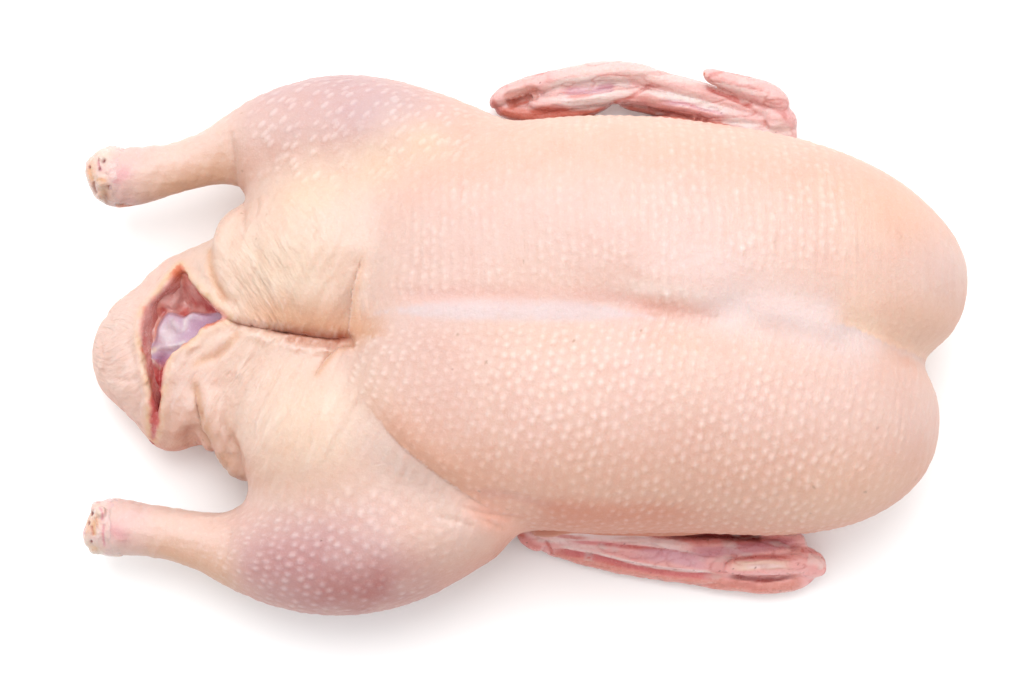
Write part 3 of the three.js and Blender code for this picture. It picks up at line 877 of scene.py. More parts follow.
def shape_folds(clay):
    """Folds, grooves and lips of skin, from the breast back to the legs."""
    top = smooth_step(0.0, 0.35, clay.facing()[:, 2])
    straight_up = (0, 0, 1)
    clay.mark(UPPER_VALLEY, 9, -1.8, top, 0.3)
    clay.mark(BREAST_REAR[4:], 9, 1.0, top, 0.3)
    clay.mark(BREAST_LIP, 9, -1.6, top, 0.2)
    clay.overlap(BREAST_LIP, 4.5, 1.3, 1.6, top, 0.3)
    clay.ease(25, np.clip(1.5 * clay.patch((-64, 80), (9, 24)), 0, 1))
    clay.mark(KEEL_RIDGE, 4, 0.35, top, 0.2)
    clay.mark(KEEL_SIDE, 3, -0.5, top, 0.3)
    clay.mark(KEEL_GROOVE, 5, -0.8, top, 0.3)
    clay.mark(KEEL_SLOPE, 9, 2.0, top, 0.3)
    clay.mark(THIGH_EDGE, 3.4, -1.0, top, 0.3)
    clay.overlap(THIGH_EDGE, 6, 0.6, -0.4, top, 0.4)
    clay.mark(ARM_FOLD, 1.8, -0.8, top, 0.4)
    clay.mark(KEEL_PLATEAU, 7, 2.2, top, 0.3)
    clay.mark(LOBE_PARTING, 5, -1.8, 1.0, 0.3)
    clay.mark(BELLY_SWELL, 8, 2.2, top, 0.25)
    clay.mark(CREASE_TROUGH, 3.2, -1.5, 0.5 + rough(clay.at, 4, 45), 0.25, straight_up)
    clay.mark(BELLY_CREASE[:3], 1.5, -2.4, 1.0, 0.2, straight_up)
    clay.mark(BELLY_CREASE[1:], 1.9, -4.6, 1.0, 0.25, straight_up)
    crease, _, share = along(BELLY_CREASE, clay.at)
    crease = bell(crease * (1 + 0.35 * noise(clay.at, 4, 149)), 2.3) * fading(share, 0.1)
    clay.kept["crease"] = crease * (0.4 + 0.6 * smooth_step(0.3, 0.7, share))
    clay.overlap(BELLY_CREASE, 7, 1.2, 1.6, top, 0.15)
    clay.mark(CREASE_LIP, 2.4, 1.5, 0.7 + rough(clay.at, 5, 44), 0.15, straight_up)
    clay.mark(FLAP_GROOVE, 1.9, -1.5, 1.0, 0.45, straight_up)
    clay.mark(LEFT_FOLD, 1.8, -2.2, 1.0, 0.45, straight_up)
    clay.overlap(LEFT_FOLD, 4, 1.2, 1.4, top, 0.4)
    clay.mark(LEFT_FOLD_INNER, 1.7, -1.4, top, 0.3)
    clay.mark(CORNER_FOLD, 1.8, -1.6, 1.0, 0.3, straight_up)
    clay.overlap(CORNER_FOLD, 6, 1.2, 0.8, top, 0.25)
    clay.mark(RIGHT_BULGE_EDGE, 1.7, -2.0, 1.0, 0.2, straight_up)
    clay.mark(TAIL_COLLAR, 8, 1.6, top, 0.2)
    for path, depth in LEG_WRINKLES:
        clay.mark(path, 1.3, -depth, 1.0, 0.3)


def shape_vent(clay):
    """Uneven lips round the vent."""
    off = vent_distance(clay.at)
    high = clay.at[:, 2] > 28
    clay.push(bell(off - 1.4, 2.0) * high * (0.4 + 0.9 * rough(clay.at, 5, 41)))
    clay.push(bell(off - 5.5, 1.6) * high * -0.5)


def lay_of_skin(clay):
    """Flat coordinates over the body: along it, and round it from the keel."""
    x, y, z = clay.at.T
    return x, 62.0 * np.arctan2(y, z - 50.0)


# How far apart the follicles stand: in the upper breast's rows, on the lower breast and the drumsticks.
ROW_PITCH = 4.3
LATTICE_PITCH = 4.6
DRUM_PITCH = 4.9


def texture_skin(clay):
    """Bumps on the follicles, then wrinkles and lumps in the loose skin."""
    still = clay.at
    x, y, z = still.T
    up = smooth_step(-0.3, 0.2, clay.facing()[:, 2]) * smooth_step(18, 34, z)
    breast = breast_share(clay)
    drums = np.maximum(clay.patch((-74, 84), (46, 26)), clay.patch((-80, -98), (46, 26)))
    drums = np.clip(2.2 * drums, 0, 1)
    shank = smooth_step(-118, -130, x) * (np.abs(y) > 54) * smooth_step(-184, -176, x)
    raise_pimples(clay, up, breast, drums)
    raise_wrinkles(clay, still, up, (1 - breast) * up, 1 - 0.75 * drums)
    clay.push(0.2 * rough(clay.at, (17, 3, 3), 69) * shank)
    lay_wrinkles(clay, still, shank)
    quiet = (1 - 0.6 * breast) * (1 - 0.6 * shank) * (1 - 0.4 * smooth_step(-140, -155, x))
    plain = np.clip(1.5 * clay.patch((-34, -92), (34, 24)), 0, 1)
    quiet = quiet * (1 - 0.8 * np.maximum(drums, plain))
    clay.wrinkle = np.clip(quiet * (0.5 + 0.6 * rough(clay.at, 22, 75)), 0.08, 1) * (0.35 + 0.65 * up)


def breast_share(clay):
    """1 on the breast, up to its rear edge and the thigh's edge."""
    x, y, _ = clay.at.T
    breast = np.where(y > 0, smooth_step(-68, -48, x), smooth_step(-76, -70, x))
    edge, side, _ = along(THIGH_EDGE, clay.at)
    inward = smooth_step(-4, 2, np.where(side > 0, edge, -edge))
    return np.where((y < -20) & (x < 10), breast * inward, breast)


def raise_pimples(clay, up, breast, drums):
    """The follicles' bumps: in rows across the upper breast, in a lattice on the lower one."""
    x, y, z = clay.at.T
    u, v = lay_of_skin(clay)
    keel = 1 - 0.9 * bell(y - 1, 6) * breast * (x < 50)
    plateau, _, _ = along(KEEL_PLATEAU, clay.at)
    keel = keel * (1 - 0.8 * bell(plateau, 14) * (z > BREAST_TOP))
    warp = 1.5 * noise(clay.at, (30, 13, 13), 3)
    upper = 0.65 * dots(u + warp, v, ROW_PITCH, 3.8, 0.7, 1.25, 11) + 0.28 * waves(u + warp, ROW_PITCH)
    upper = upper * (1 - 0.35 * clay.patch((32, 48), (44, 20)))
    upper = upper * np.clip(0.95 + 0.35 * rough(clay.at, 13, 57), 0.4, 1.2)
    lean = u - 0.3 * v + warp
    lower = 0.9 * dots(lean, v + 0.15 * u, LATTICE_PITCH, 4.3, 0.5, 1.35, 12)
    lower = lower + 0.2 * waves(lean, LATTICE_PITCH)
    upper_half = smooth_step(-4, 6, y)
    slanted = np.column_stack([0.42 * (x + y), 0.9 * (y - x), z])
    around = 30 * np.arctan2(-(y + 92), z - 42)
    left_drum = dots(x + 0.2 * around + warp, around + 0.8 * warp, DRUM_PITCH, DRUM_PITCH, 0.5, 1.75, 13)
    drum = np.where(y > 0, 0.8 * dots_in_space(slanted, 3.9, 0.8, 1.6, 13), 1.1 * left_drum)
    belly = 0.2 * dots_in_space(clay.at, 5.0, 0.8, 1.4, 14)
    field = breast * (upper_half * upper + (1 - upper_half) * lower) + (1 - breast) * belly
    field = field * (1 - drums) + drum * drums
    patchy = np.clip(0.95 + 0.3 * rough(clay.at, 24, 55), 0.6, 1.2)
    far_end = 1 - 0.45 * smooth_step(110, 160, x)
    clay.pimple = np.clip(field * up * keel * patchy * far_end, 0, 1)
    clay.kept["between"] = np.clip(breast + drums, 0, 1) * up * keel
    clay.push(0.6 * clay.pimple)


def raise_wrinkles(clay, still, up, loose, off_drums):
    """Fine folds in the loose skin, and lumps on the tail."""
    x, y, z = still.T
    wrinkled = loose * smooth_step(0, 5, vent_distance(clay.at)) * off_drums
    steep = np.column_stack([x * 0.45 + y * 0.9, y * 0.45 - x * 0.9, z])
    clay.push(0.42 * rough(steep, (16, 2.6, 16), 61) * wrinkled)
    bulge = clay.patch((-108, 28), (26, 30))
    upright = np.column_stack([x + 2 * noise(clay.at, 12, 65) + 0.25 * y, y, z])
    clay.push(0.7 * noise(upright, (3.4, 24, 24), 63) * wrinkled * bulge)
    hind = clay.patch((-142, -34), (22, 24)) + 0.8 * clay.patch((-168, 0), (16, 40))
    clay.push(0.6 * rough(clay.at, 6.5, 67) * np.clip(hind, 0, 1) * up)
    tail = smooth_step(-150, -160, x) * smooth_step(56, 46, np.abs(y))
    tail = tail * smooth_step(0, 6, vent_distance(clay.at))
    stirred = clay.at + 3 * np.column_stack([noise(clay.at, 14, seed) for seed in (151, 152, 153)])
    lumps = noise(stirred, (9, 15, 12), 154)
    clay.push((1.0 * lumps - 0.5 * smooth_step(0.2, 0.0, np.abs(lumps))) * tail)
    clay.kept["tail"] = tail


def lay_wrinkles(clay, still, shank):
    """Turns the material's fine creases across the body, and along the shanks."""
    x, y, z = still.T
    lean = 0.48 * smooth_step(-50, -110, x) + 0.3 * smooth_step(-110, -50, x) * smooth_step(6, -6, y)
    swirl = 1.2 * noise(clay.at, 11, 73)
    around = 62 * np.arctan2(y, np.maximum(z - 20, 8))
    across_body = np.column_stack([(x + lean * np.abs(around) + swirl) / 3.0, around / 13, z / 13])
    along_shank = np.column_stack([x / 12, y / 2.2, z / 2.2])
    clay.lay = across_body + shank[:, None] * (along_shank - across_body)


def colour_skin(clay):
    """Paints the skin, from the broad tints to the specks."""
    facing = clay.facing()
    colour_ground(clay, facing)
    colour_drums(clay)
    colour_keel(clay)
    colour_left_edge(clay)
    # Painted light on the tail's upward faces.
    clay.paint(TAIL_TOP_PAINTED_LIGHT, 0.6 * clay.kept["tail"] * smooth_step(-0.1, 0.4, facing[:, 2]))
    colour_shanks(clay, facing)
    colour_neck_end(clay)
    colour_creases(clay)
    specks = dots(*lay_of_skin(clay), 17, 15, 1.0, 0.9, 71)
    clay.paint(FEATHER_ROOT, 0.9 * smooth_step(0.75, 0.95, specks))


def colour_ground(clay, facing):
    """The breast's top and both sides of the body, with painted light on the breast and painted shade on
    the sides.
    """
    clay.paint(COOL_SKIN, 0.4 + 0.5 * rough(clay.at, 45, 21))
    # Painted light on the upper breast, on the slope by the keel and on the upper lobe's end.
    clay.paint(PAINTED_LIGHT_SKIN, 0.5 * clay.patch((26, 48), (80, 34)))
    clay.paint(ROSE_GREY, 0.45 * clay.patch((-34, 30), (44, 34)) + 0.3 * clay.patch((20, 34), (40, 26)))
    clay.paint(PAINTED_LIGHT_SKIN, 0.8 * clay.patch((72, 19), (26, 12), -8))
    clay.paint(PAINTED_LIGHT_SKIN, 0.6 * clay.patch((174, 24), (18, 34)))
    # Painted shade: warmer and deeper where the skin faces down and to the left, and a little on the
    # slopes that face the far side.
    left_side = smooth_step(0.1, -0.75, facing[:, 1])
    clay.paint(SIDE_PAINTED_SHADE, 0.45 * smooth_step(0.8, 0.0, facing[:, 2]) + 0.75 * left_side)
    clay.paint(DEEP_SIDE_PAINTED_SHADE, left_side * smooth_step(0.65, 0.0, facing[:, 2]))
    clay.paint(SIDE_PAINTED_SHADE, 0.45 * smooth_step(0.1, 0.6, facing[:, 1]) * (clay.at[:, 0] > -60))


def colour_drums(clay):
    """The darker drumsticks and the fat round them."""
    drums = np.maximum(clay.patch((-84, 94), (42, 24), -8), clay.patch((-80, -104), (44, 26)))
    uneven = 0.8 + 0.4 * rough(clay.at, 10, 33)
    clay.paint(DRUM_TINT, np.clip(1.25 * drums, 0, 0.9) * (0.8 + 0.25 * rough(clay.at, 18, 31)))
    clay.paint(DRUM_BLUE, 0.6 * clay.patch((-52, 92), (16, 9)))
    clay.paint(DRUM_SHADE, 0.6 * clay.patch((-80, 106), (42, 12), -4))
    clay.paint(DRUM_DEEP, 0.8 * clay.patch((-86, -103), (36, 18)) * uneven)
    clay.paint(DRUM_DEEP, 0.7 * clay.patch((-97, -101), (22, 13)))
    clay.paint(PALE_SKIN, 0.5 * clay.patch((-42, -90), (18, 10), -20))
    clay.paint(DRUM_FLUSH, 0.9 * clay.patch((-70, -114), (26, 11)) * uneven)
    for centre, radii, turn, strength in (
        ((-42, 74), (12, 10), 0, 0.8),
        ((-62, 66), (16, 12), 30, 0.8),
        ((-92, 56), (20, 14), 30, 0.8),
        ((-100, 20), (34, 24), 0, 0.7),
        ((-92, -45), (34, 26), 0, 0.6),
    ):
        clay.paint(FATTY_SKIN, strength * clay.patch(centre, radii, turn))


def colour_keel(clay):
    """The pale line of the keel, painted shade above it, painted light on its slope and plateau, and the
    flushed groove.
    """
    top = clay.at[:, 2] > BREAST_TOP
    keel, _, share = along(KEEL_RIDGE, clay.at)
    taper = np.maximum(fading(share, 0.35), 0.15)
    clay.paint(KEEL_SKIN, 0.95 * smooth_step(6.0, 2.5, keel / taper) * top)
    # Painted shade above the keel.
    clay.streak(KEEL_PAINTED_SHADE, KEEL_SHADE, 4, 0.35, 0.2, top)
    # Painted light on the slope above the groove, where the form leaves it shaded.
    clay.streak(SLOPE_LIGHT, SLOPE_GLEAM, 3.6, 0.6, 0.3, top)
    clay.streak(FLUSH_SALMON, GROOVE_FLUSH, 4.2, 0.6, 0.3, top)
    # Painted light on the plateau at the keel's end.
    plateau, _, _ = along(KEEL_PLATEAU, clay.at)
    clay.paint(PAINTED_LIGHT_SKIN, 0.95 * bell(plateau, 13) * top)


def colour_left_edge(clay):
    """Where the breast meets the left thigh, the armpit and the left wing, with painted shade and painted
    light along them.
    """
    z = clay.at[:, 2]
    upper = z > UPPER_SIDE
    distance, side, share = along(THIGH_EDGE, clay.at)
    ends = fading(share, 0.3) * (z > 40)
    # Painted shade on the breast's side of the thigh's edge, painted light on the thigh's side.
    clay.paint(BREAST_EDGE_PAINTED_SHADE, 0.7 * bell(distance, 12) * (side > 0) * ends)
    clay.paint(THIGH_PAINTED_LIGHT, 0.7 * smooth_step(26, 6, distance) * (side < 0) * ends)
    # Painted light in the armpit, which the form leaves in shadow.
    clay.paint(ARMPIT_PAINTED_LIGHT, 0.9 * clay.patch((-12, -82), (14, 7), -30) * upper)
    clay.streak(FLUSH_SALMON, ARM_FOLD, 2, 0.5, 0.2, upper)
    # Painted shade where the body's low edge meets the left wing.
    distance, _, share = along(WING_SEAM, clay.at)
    clay.paint(SEAM_PAINTED_SHADE, 0.75 * smooth_step(7, 2, distance) * fading(share, 0.3) * (z < 52) * (z > 20))
    # Painted shade along the low edge above the left wing.
    distance, _, share = along(LOW_EDGE, clay.at)
    clay.paint(DEEP_SIDE_PAINTED_SHADE, 0.9 * smooth_step(13, 4, distance) * fading(share, 0.3) * upper)
    # Painted light on the lower lobe.
    clay.paint(LOBE_LIGHT, 0.4 * clay.patch((138, -74), (34, 16)) * upper)


def colour_shanks(clay, facing):
    """Both shanks, pinker towards the hocks, with painted shade underneath."""
    x, y, z = clay.at.T
    shanks = smooth_step(-116, -132, x) * (np.abs(y) > 54)
    clay.paint(SHANK_SKIN, shanks)
    # Painted shade on the sides that face down and away from the light.
    left_side = smooth_step(0.3, -0.8, facing[:, 1])
    clay.paint(SHANK_SHADE, 0.8 * shanks * left_side * smooth_step(-182, -150, x))
    uneven = 0.8 + 0.5 * rough(clay.at, 9, 35)
    clay.paint(HOCK_PINK, 0.55 * shanks * smooth_step(-150, -172, x) * uneven)
    for path in HOCK_EDGES:
        distance, _, _ = along(path, clay.at)
        clay.paint(HOCK_FLUSH, 0.7 * bell(distance, 3.4) * (z > UPPER_SIDE))


def colour_neck_end(clay):
    """The two lobes at the neck end, with painted light beside their parting, and painted shade on the
    ledge under the left one.
    """
    x, y, z = clay.at.T
    distance, side, share = along(LOBE_PARTING, clay.at)
    # Painted light beside the lobes' parting, where the form leaves the upper lobe shaded.
    clay.paint(LOBE_LIGHT, 0.95 * bell(distance, 16) * (side > 0) * smooth_step(0, 0.2, share))
    clay.paint(LOBE_FLUSH, 0.35 * bell(distance, 4) * (side > 0) * smooth_step(0.3, 0.6, share))
    clay.paint(LOBE_FLUSH, 0.5 * clay.patch((158, 42), (20, 22)))
    # Painted shade on the ledge under the left lobe.
    ledge = smooth_step(48, 40, z) * smooth_step(-70, -76, y) * smooth_step(-30, -20, x)
    clay.paint(DEEP_SIDE_PAINTED_SHADE, 0.8 * ledge)


def colour_creases(clay):
    """Painted shade beside and in the belly's crease and in the folds, pinker skin and painted shade in
    the hollows, and painted highlight on the crests.
    """
    upper = clay.at[:, 2] > UPPER_SIDE
    distance, side, share = along(BELLY_CREASE, clay.at)
    above = smooth_step(18, 1, distance) * (side > 0) * smooth_step(0, 0.5, share)
    below = smooth_step(7, 1, distance) * (side < 0) * smooth_step(0.1, 0.5, share)
    # Painted shade on the roll above the crease and in the trough below it.
    clay.paint(CREASE_PAINTED_SHADE, 0.9 * above * upper)
    clay.paint(CREASE_PAINTED_SHADE, 0.6 * below * upper)
    # Painted shade in the troughs and folds.
    for path, tint, width, strength in (
        (CREASE_TROUGH, TROUGH_PAINTED_SHADE, 2.4, 0.4),
        (RIGHT_BULGE_EDGE, SHANK_SHADE, 2.0, 0.8),
        (CORNER_FOLD, SHANK_SHADE, 1.6, 0.7),
        (BREAST_LIP, SHANK_SHADE, 1.8, 0.5),
        (FLAP_GROOVE, SHANK_SHADE, 1.8, 0.6),
        (LEFT_FOLD, SHANK_SHADE, 2.0, 0.8),
    ):
        clay.streak(tint, path, width, strength, 0.15, upper)
    # Painted shade in the hollows, fine and broad, then in the crease itself.
    fine, broad = clay.hollow(3), clay.hollow(16)
    clay.paint(PINK_SKIN_AND_HOLLOW_SHADE, 0.4 * smooth_step(0.03, 0.35, fine) + 0.3 * smooth_step(0.25, 1.6, broad))
    clay.paint(CREASE_LINE_PAINTED_SHADE, clay.kept["crease"])
    # Pinker skin in the dips between the follicles' bumps, then painted highlight on the fine crests.
    clay.paint(PINK_SKIN_AND_HOLLOW_SHADE, 0.2 * clay.kept["between"] * (1 - clay.pimple))
    clay.paint(PAINTED_LIGHT_SKIN, 0.3 * smooth_step(-0.04, -0.3, fine))


def colour_vent(clay):
    """Red flesh inside the vent and an orange, fatty rim."""
    z = clay.at[:, 2]
    ragged = noise(clay.at, 3.2, 83)
    off = vent_distance(clay.at) + 0.7 * ragged
    high = smooth_step(14, 20, z)
    inside = smooth_step(0.6, -0.6, off) * high
    flesh = rough(clay.at, (5, 5, 3), 81)
    rim = z > 26
    clay.paint(FAT_EDGE, 0.6 * bell(off - 1.6, 1.8) * rim * (0.7 + 0.6 * ragged))
    clay.paint(FLESH_ORANGE, 0.9 * bell(off - 0.1, 0.8) * rim * (0.6 + 0.6 * flesh))
    clay.paint(FLESH_PINK, inside)
    clay.paint(FLESH_RED, inside * (0.35 + 0.7 * flesh))
    clay.paint(FLESH_ORANGE, 0.9 * clay.patch((-150, 25), (4, 4)) * (off < 1.5) * high)
    clay.paint(FLESH_CRIMSON, 0.8 * inside * smooth_step(-24, -34, clay.at[:, 1]))
    clay.raw = np.clip(inside, 0, 1)


# The wings, limb by limb: their stations are [x, y, z, half width, half height].


RIGHT_WING = {
    "upper arm": [
        (116, 64, 25, 11, 11), (108, 68, 24, 13, 12), (60, 78, 18, 11, 11), (12, 84, 13, 9, 9),
        (2, 86, 12, 6, 6),
    ],
    "forearm": [
        (124, 90, 13, 5, 6), (118, 91, 12, 8, 8), (90, 89.5, 12, 7.5, 8), (50, 88, 12, 7.5, 8),
        (15, 87, 11, 7.5, 7.5), (0, 87, 11, 5, 5),
    ],
    "leading ridge": [
        (117, 99, 15, 5, 6), (97, 104, 15, 5.5, 6.5), (80, 109.5, 14.5, 5.5, 7),
        (64, 114, 14.5, 5.2, 7), (53, 118.6, 14.5, 5.3, 7), (41, 119.6, 14, 5.3, 6.6),
        (21, 117.6, 13, 5, 6), (3, 113.6, 12, 4.8, 5.6), (-9, 109, 11.5, 5, 5.4),
        (-15, 105.6, 11, 3.5, 4),
    ],
    "opening floor": [
        (-9, 106, 7.5, 3, 3), (2, 107.4, 7.5, 5, 3), (14, 107.4, 7.5, 4, 3), (24, 108, 8, 3, 3),
    ],
    "rear ridge": [
        (118, 95, 13, 6, 7), (97, 98.5, 13, 5, 7), (80, 102.4, 13.5, 4.6, 7), (62, 106, 14, 4.4, 7),
        (45, 109.6, 14, 4.2, 6.4), (30, 107.4, 13.5, 4, 5.6), (15, 105, 12.5, 4, 5.4),
        (1, 105, 11.5, 4, 5),
    ],
    "sheet between": [
        (112, 97, 12, 5, 5), (80, 106, 12, 5, 4.6), (60, 109.5, 12, 5, 4.8), (42, 113.6, 11.5, 5, 4.2),
        (25, 111.4, 11, 5, 3.8), (8, 109, 11, 4, 4),
    ],
    "under strip": [
        (42, 107.4, 9, 3, 3), (51, 105.6, 8.5, 3.4, 4), (60, 103.8, 8, 3.8, 4.5), (80, 97, 8, 4.5, 5),
        (98, 93.5, 9, 5, 5.5),
    ],
    "under flap": [
        (41, 107, 9, 2.4, 3.4), (33, 103.6, 8.5, 4, 5), (17, 101, 8, 4.5, 5), (1, 101, 8, 4.5, 5),
        (-9, 103, 8.5, 3.5, 4.5), (-12.5, 104, 9, 2, 3),
    ],
    "body fold": [
        (46, 96.6, 13, 1.4, 2), (60, 98.2, 14, 2, 3), (76, 95.5, 15, 2, 3.2), (88, 93, 15, 2, 3),
    ],
    "wrist": [
        (107, 97, 14, 7, 8), (114, 97.5, 14.5, 8.5, 9), (120, 96.5, 14, 7, 8.2),
        (123.6, 95.8, 13.6, 4, 5),
    ],
    "thumb": [
        (120, 102.6, 18, 5.4, 5.4), (113, 106.6, 19.5, 6, 5.6), (103, 110, 21, 6, 5.6),
        (94, 112, 22.5, 5, 4.8), (85, 114.6, 24, 3.8, 3.6), (80, 116, 24.6, 2.6, 2.6),
    ],
}
LEFT_WING = {
    "upper arm": [
        (118, -66, 24, 9, 9), (108, -69, 22, 13, 12), (60, -78, 17, 11, 11), (10, -83, 13, 8, 8),
        (2, -84, 12, 5, 5),
    ],
    "forearm": [
        (126, -93, 11, 5, 6), (118, -92, 11, 7, 7), (87, -89, 8, 7, 5.5), (40, -87, 7.5, 6.5, 5),
        (4, -85, 7.5, 5.5, 5),
    ],
    "bright ridge": [
        (-1, -86, 11, 3.5, 4.5), (6, -86.8, 12, 4.5, 5.6), (21, -89, 12.5, 5, 6.2),
        (43, -91.4, 12.5, 5, 6.4), (69, -93, 12.5, 5, 6.4), (87, -94, 13, 5, 6.4),
        (105, -94.6, 14, 5.6, 6.6), (120, -97, 14, 6, 7),
    ],
    "middle sheet": [
        (6, -90, 10, 4, 5), (25, -92, 10.5, 5, 5), (43, -95.4, 10.5, 5.4, 5.2),
        (60, -98, 10.5, 5.8, 5.2), (87, -100.5, 11, 6.5, 5.6), (110, -102, 12, 6.5, 6.4),
    ],
    "skin edge": [
        (8, -92.6, 12.6, 1.1, 2.2), (25, -94.8, 13, 1.1, 2.2), (43, -98.7, 13, 1.1, 2.3),
        (60, -102, 13, 1.2, 2.3), (88, -105, 13, 1.3, 2.4), (100, -106.4, 12.6, 1.2, 2),
    ],
    "lower strip": [
        (7, -93.6, 7, 3, 4.4), (25, -97, 7, 4.5, 5.2), (43, -101.4, 6.5, 5.4, 5.2),
        (70, -104.4, 6.5, 5.4, 5.2), (95, -107.8, 7, 6.3, 6), (110, -109.4, 7.5, 6.3, 6.3),
        (123, -106.8, 9, 6, 6.3), (130, -104, 11, 4, 5),
    ],
    "thumb": [
        (129, -100.6, 16.5, 4.6, 4.8), (117, -101.4, 19, 4.8, 4.8), (103, -102, 19.6, 4.6, 4.6),
        (93, -102.4, 19.6, 3.8, 3.8), (87.6, -102.8, 19.4, 2.5, 2.6),
    ],
    "wrist": [
        (114, -99, 13, 7, 8), (124, -100, 13.4, 7.6, 8.2), (130, -101.4, 13, 6, 7),
        (133.8, -102, 13, 3.4, 4.2),
    ],
    "tip": [
        (-3, -86.6, 10, 2.6, 3.4), (0.5, -88.6, 9.6, 5.4, 5.6), (5, -90.8, 9.2, 5.4, 5.6),
        (10, -91.6, 9, 4.6, 5),
    ],
    "armpit skin": [
        (90, -83.6, 27, 2.6, 2.4), (98, -85, 28, 3.4, 2.8), (106, -86.2, 28, 3.4, 2.8),
        (113, -86.6, 27, 2.2, 2),
    ],
    "shoulder": [(112, -81, 23, 4, 5), (127, -82, 23, 5.2, 6), (138, -81, 23, 4, 5)],
}


def wing(name, stations, colour_wing):
    """One folded wing, with loose skin, veins and pores."""
    piece = fused(name, [limb(run) for run in stations.values()], WING_VOXEL)
    clay = Clay(piece, WING_PINK)
    clay.ease(4)
    swirl = clay.at + 2.5 * np.column_stack([noise(clay.at, 14, seed) for seed in (87, 88, 89)])
    clay.push(0.3 * rough(swirl, (18, 5, 5), 91))
    clay.push(0.35 * rough(clay.at, 8, 95))
    clay.push(-0.5 * np.clip(rough(swirl, (26, 6, 6), 93, 2) - 0.35, 0, 1))
    clay.lay = np.column_stack([clay.at[:, 0] / 7, clay.at[:, 1] / 2.4, clay.at[:, 2] / 2.4])
    clay.wrinkle[:] = 0.3
    vein = smooth_step(0.12, 0.0, np.abs(rough(swirl, (24, 6, 6), 157, 2)))
    clay.push(-0.3 * vein)
    clay.paint(WING_RED, 0.35 * vein)
    blotch = rough(swirl, (12, 7, 7), 99, 3)
    clay.paint(WING_FLUSH, 0.45 * smooth_step(0.2, 0.9, blotch))
    clay.paint(WING_PALE, 0.6 * smooth_step(-0.1, -0.8, blotch))
    # Painted shade in the grooves and hollows, and painted highlight on the crests.
    fine, broad = clay.hollow(4), clay.hollow(20)
    clay.paint(WING_GROOVE_PAINTED_SHADE, 0.6 * smooth_step(0.08, 0.5, fine) + 0.7 * smooth_step(0.4, 1.8, broad))
    clay.paint(WING_PALE, 0.5 * smooth_step(-0.08, -0.4, fine) + 0.6 * smooth_step(-0.4, -1.3, broad))
    colour_wing(clay)
    clay.paint(WING_RED, 0.3 * vein)
    white = smooth_step(0.35, 0.9, rough(swirl, (9, 4, 4), 159, 2))
    clay.paint(WING_WHITE, 0.45 * white * (clay.at[:, 2] > 11))
    pores = dots(clay.at[:, 0], clay.at[:, 1] + clay.at[:, 2], 7.5, 5.5, 1.0, 0.75, 97)
    clay.paint(PORE_BROWN, 0.75 * smooth_step(0.72, 0.92, pores) * (clay.facing()[:, 2] > 0))
    clay.finish()
    return piece


def stripe(clay, tint, path, width, strength=0.9, ends=0.3, depth=0.0):
    """A band of tint on top, with an uneven edge, sunk by the depth."""
    distance, _, share = along(path, clay.at)
    ragged = 1 + 0.3 * noise(clay.at, 4.5, 147)
    band = smooth_step(1.35, 0.55, distance / (width * ragged)) * fading(share, ends)
    if depth:
        clay.push(-depth * band * (clay.facing()[:, 2] > 0.1))
    clay.paint(tint, strength * band)


# How much the left wing's tints are lightened in the end: painted light, against the body's shade that it
# lies in.
LEFT_WING_PAINTED_LIGHT = (1.24, 1.13, 1.14)

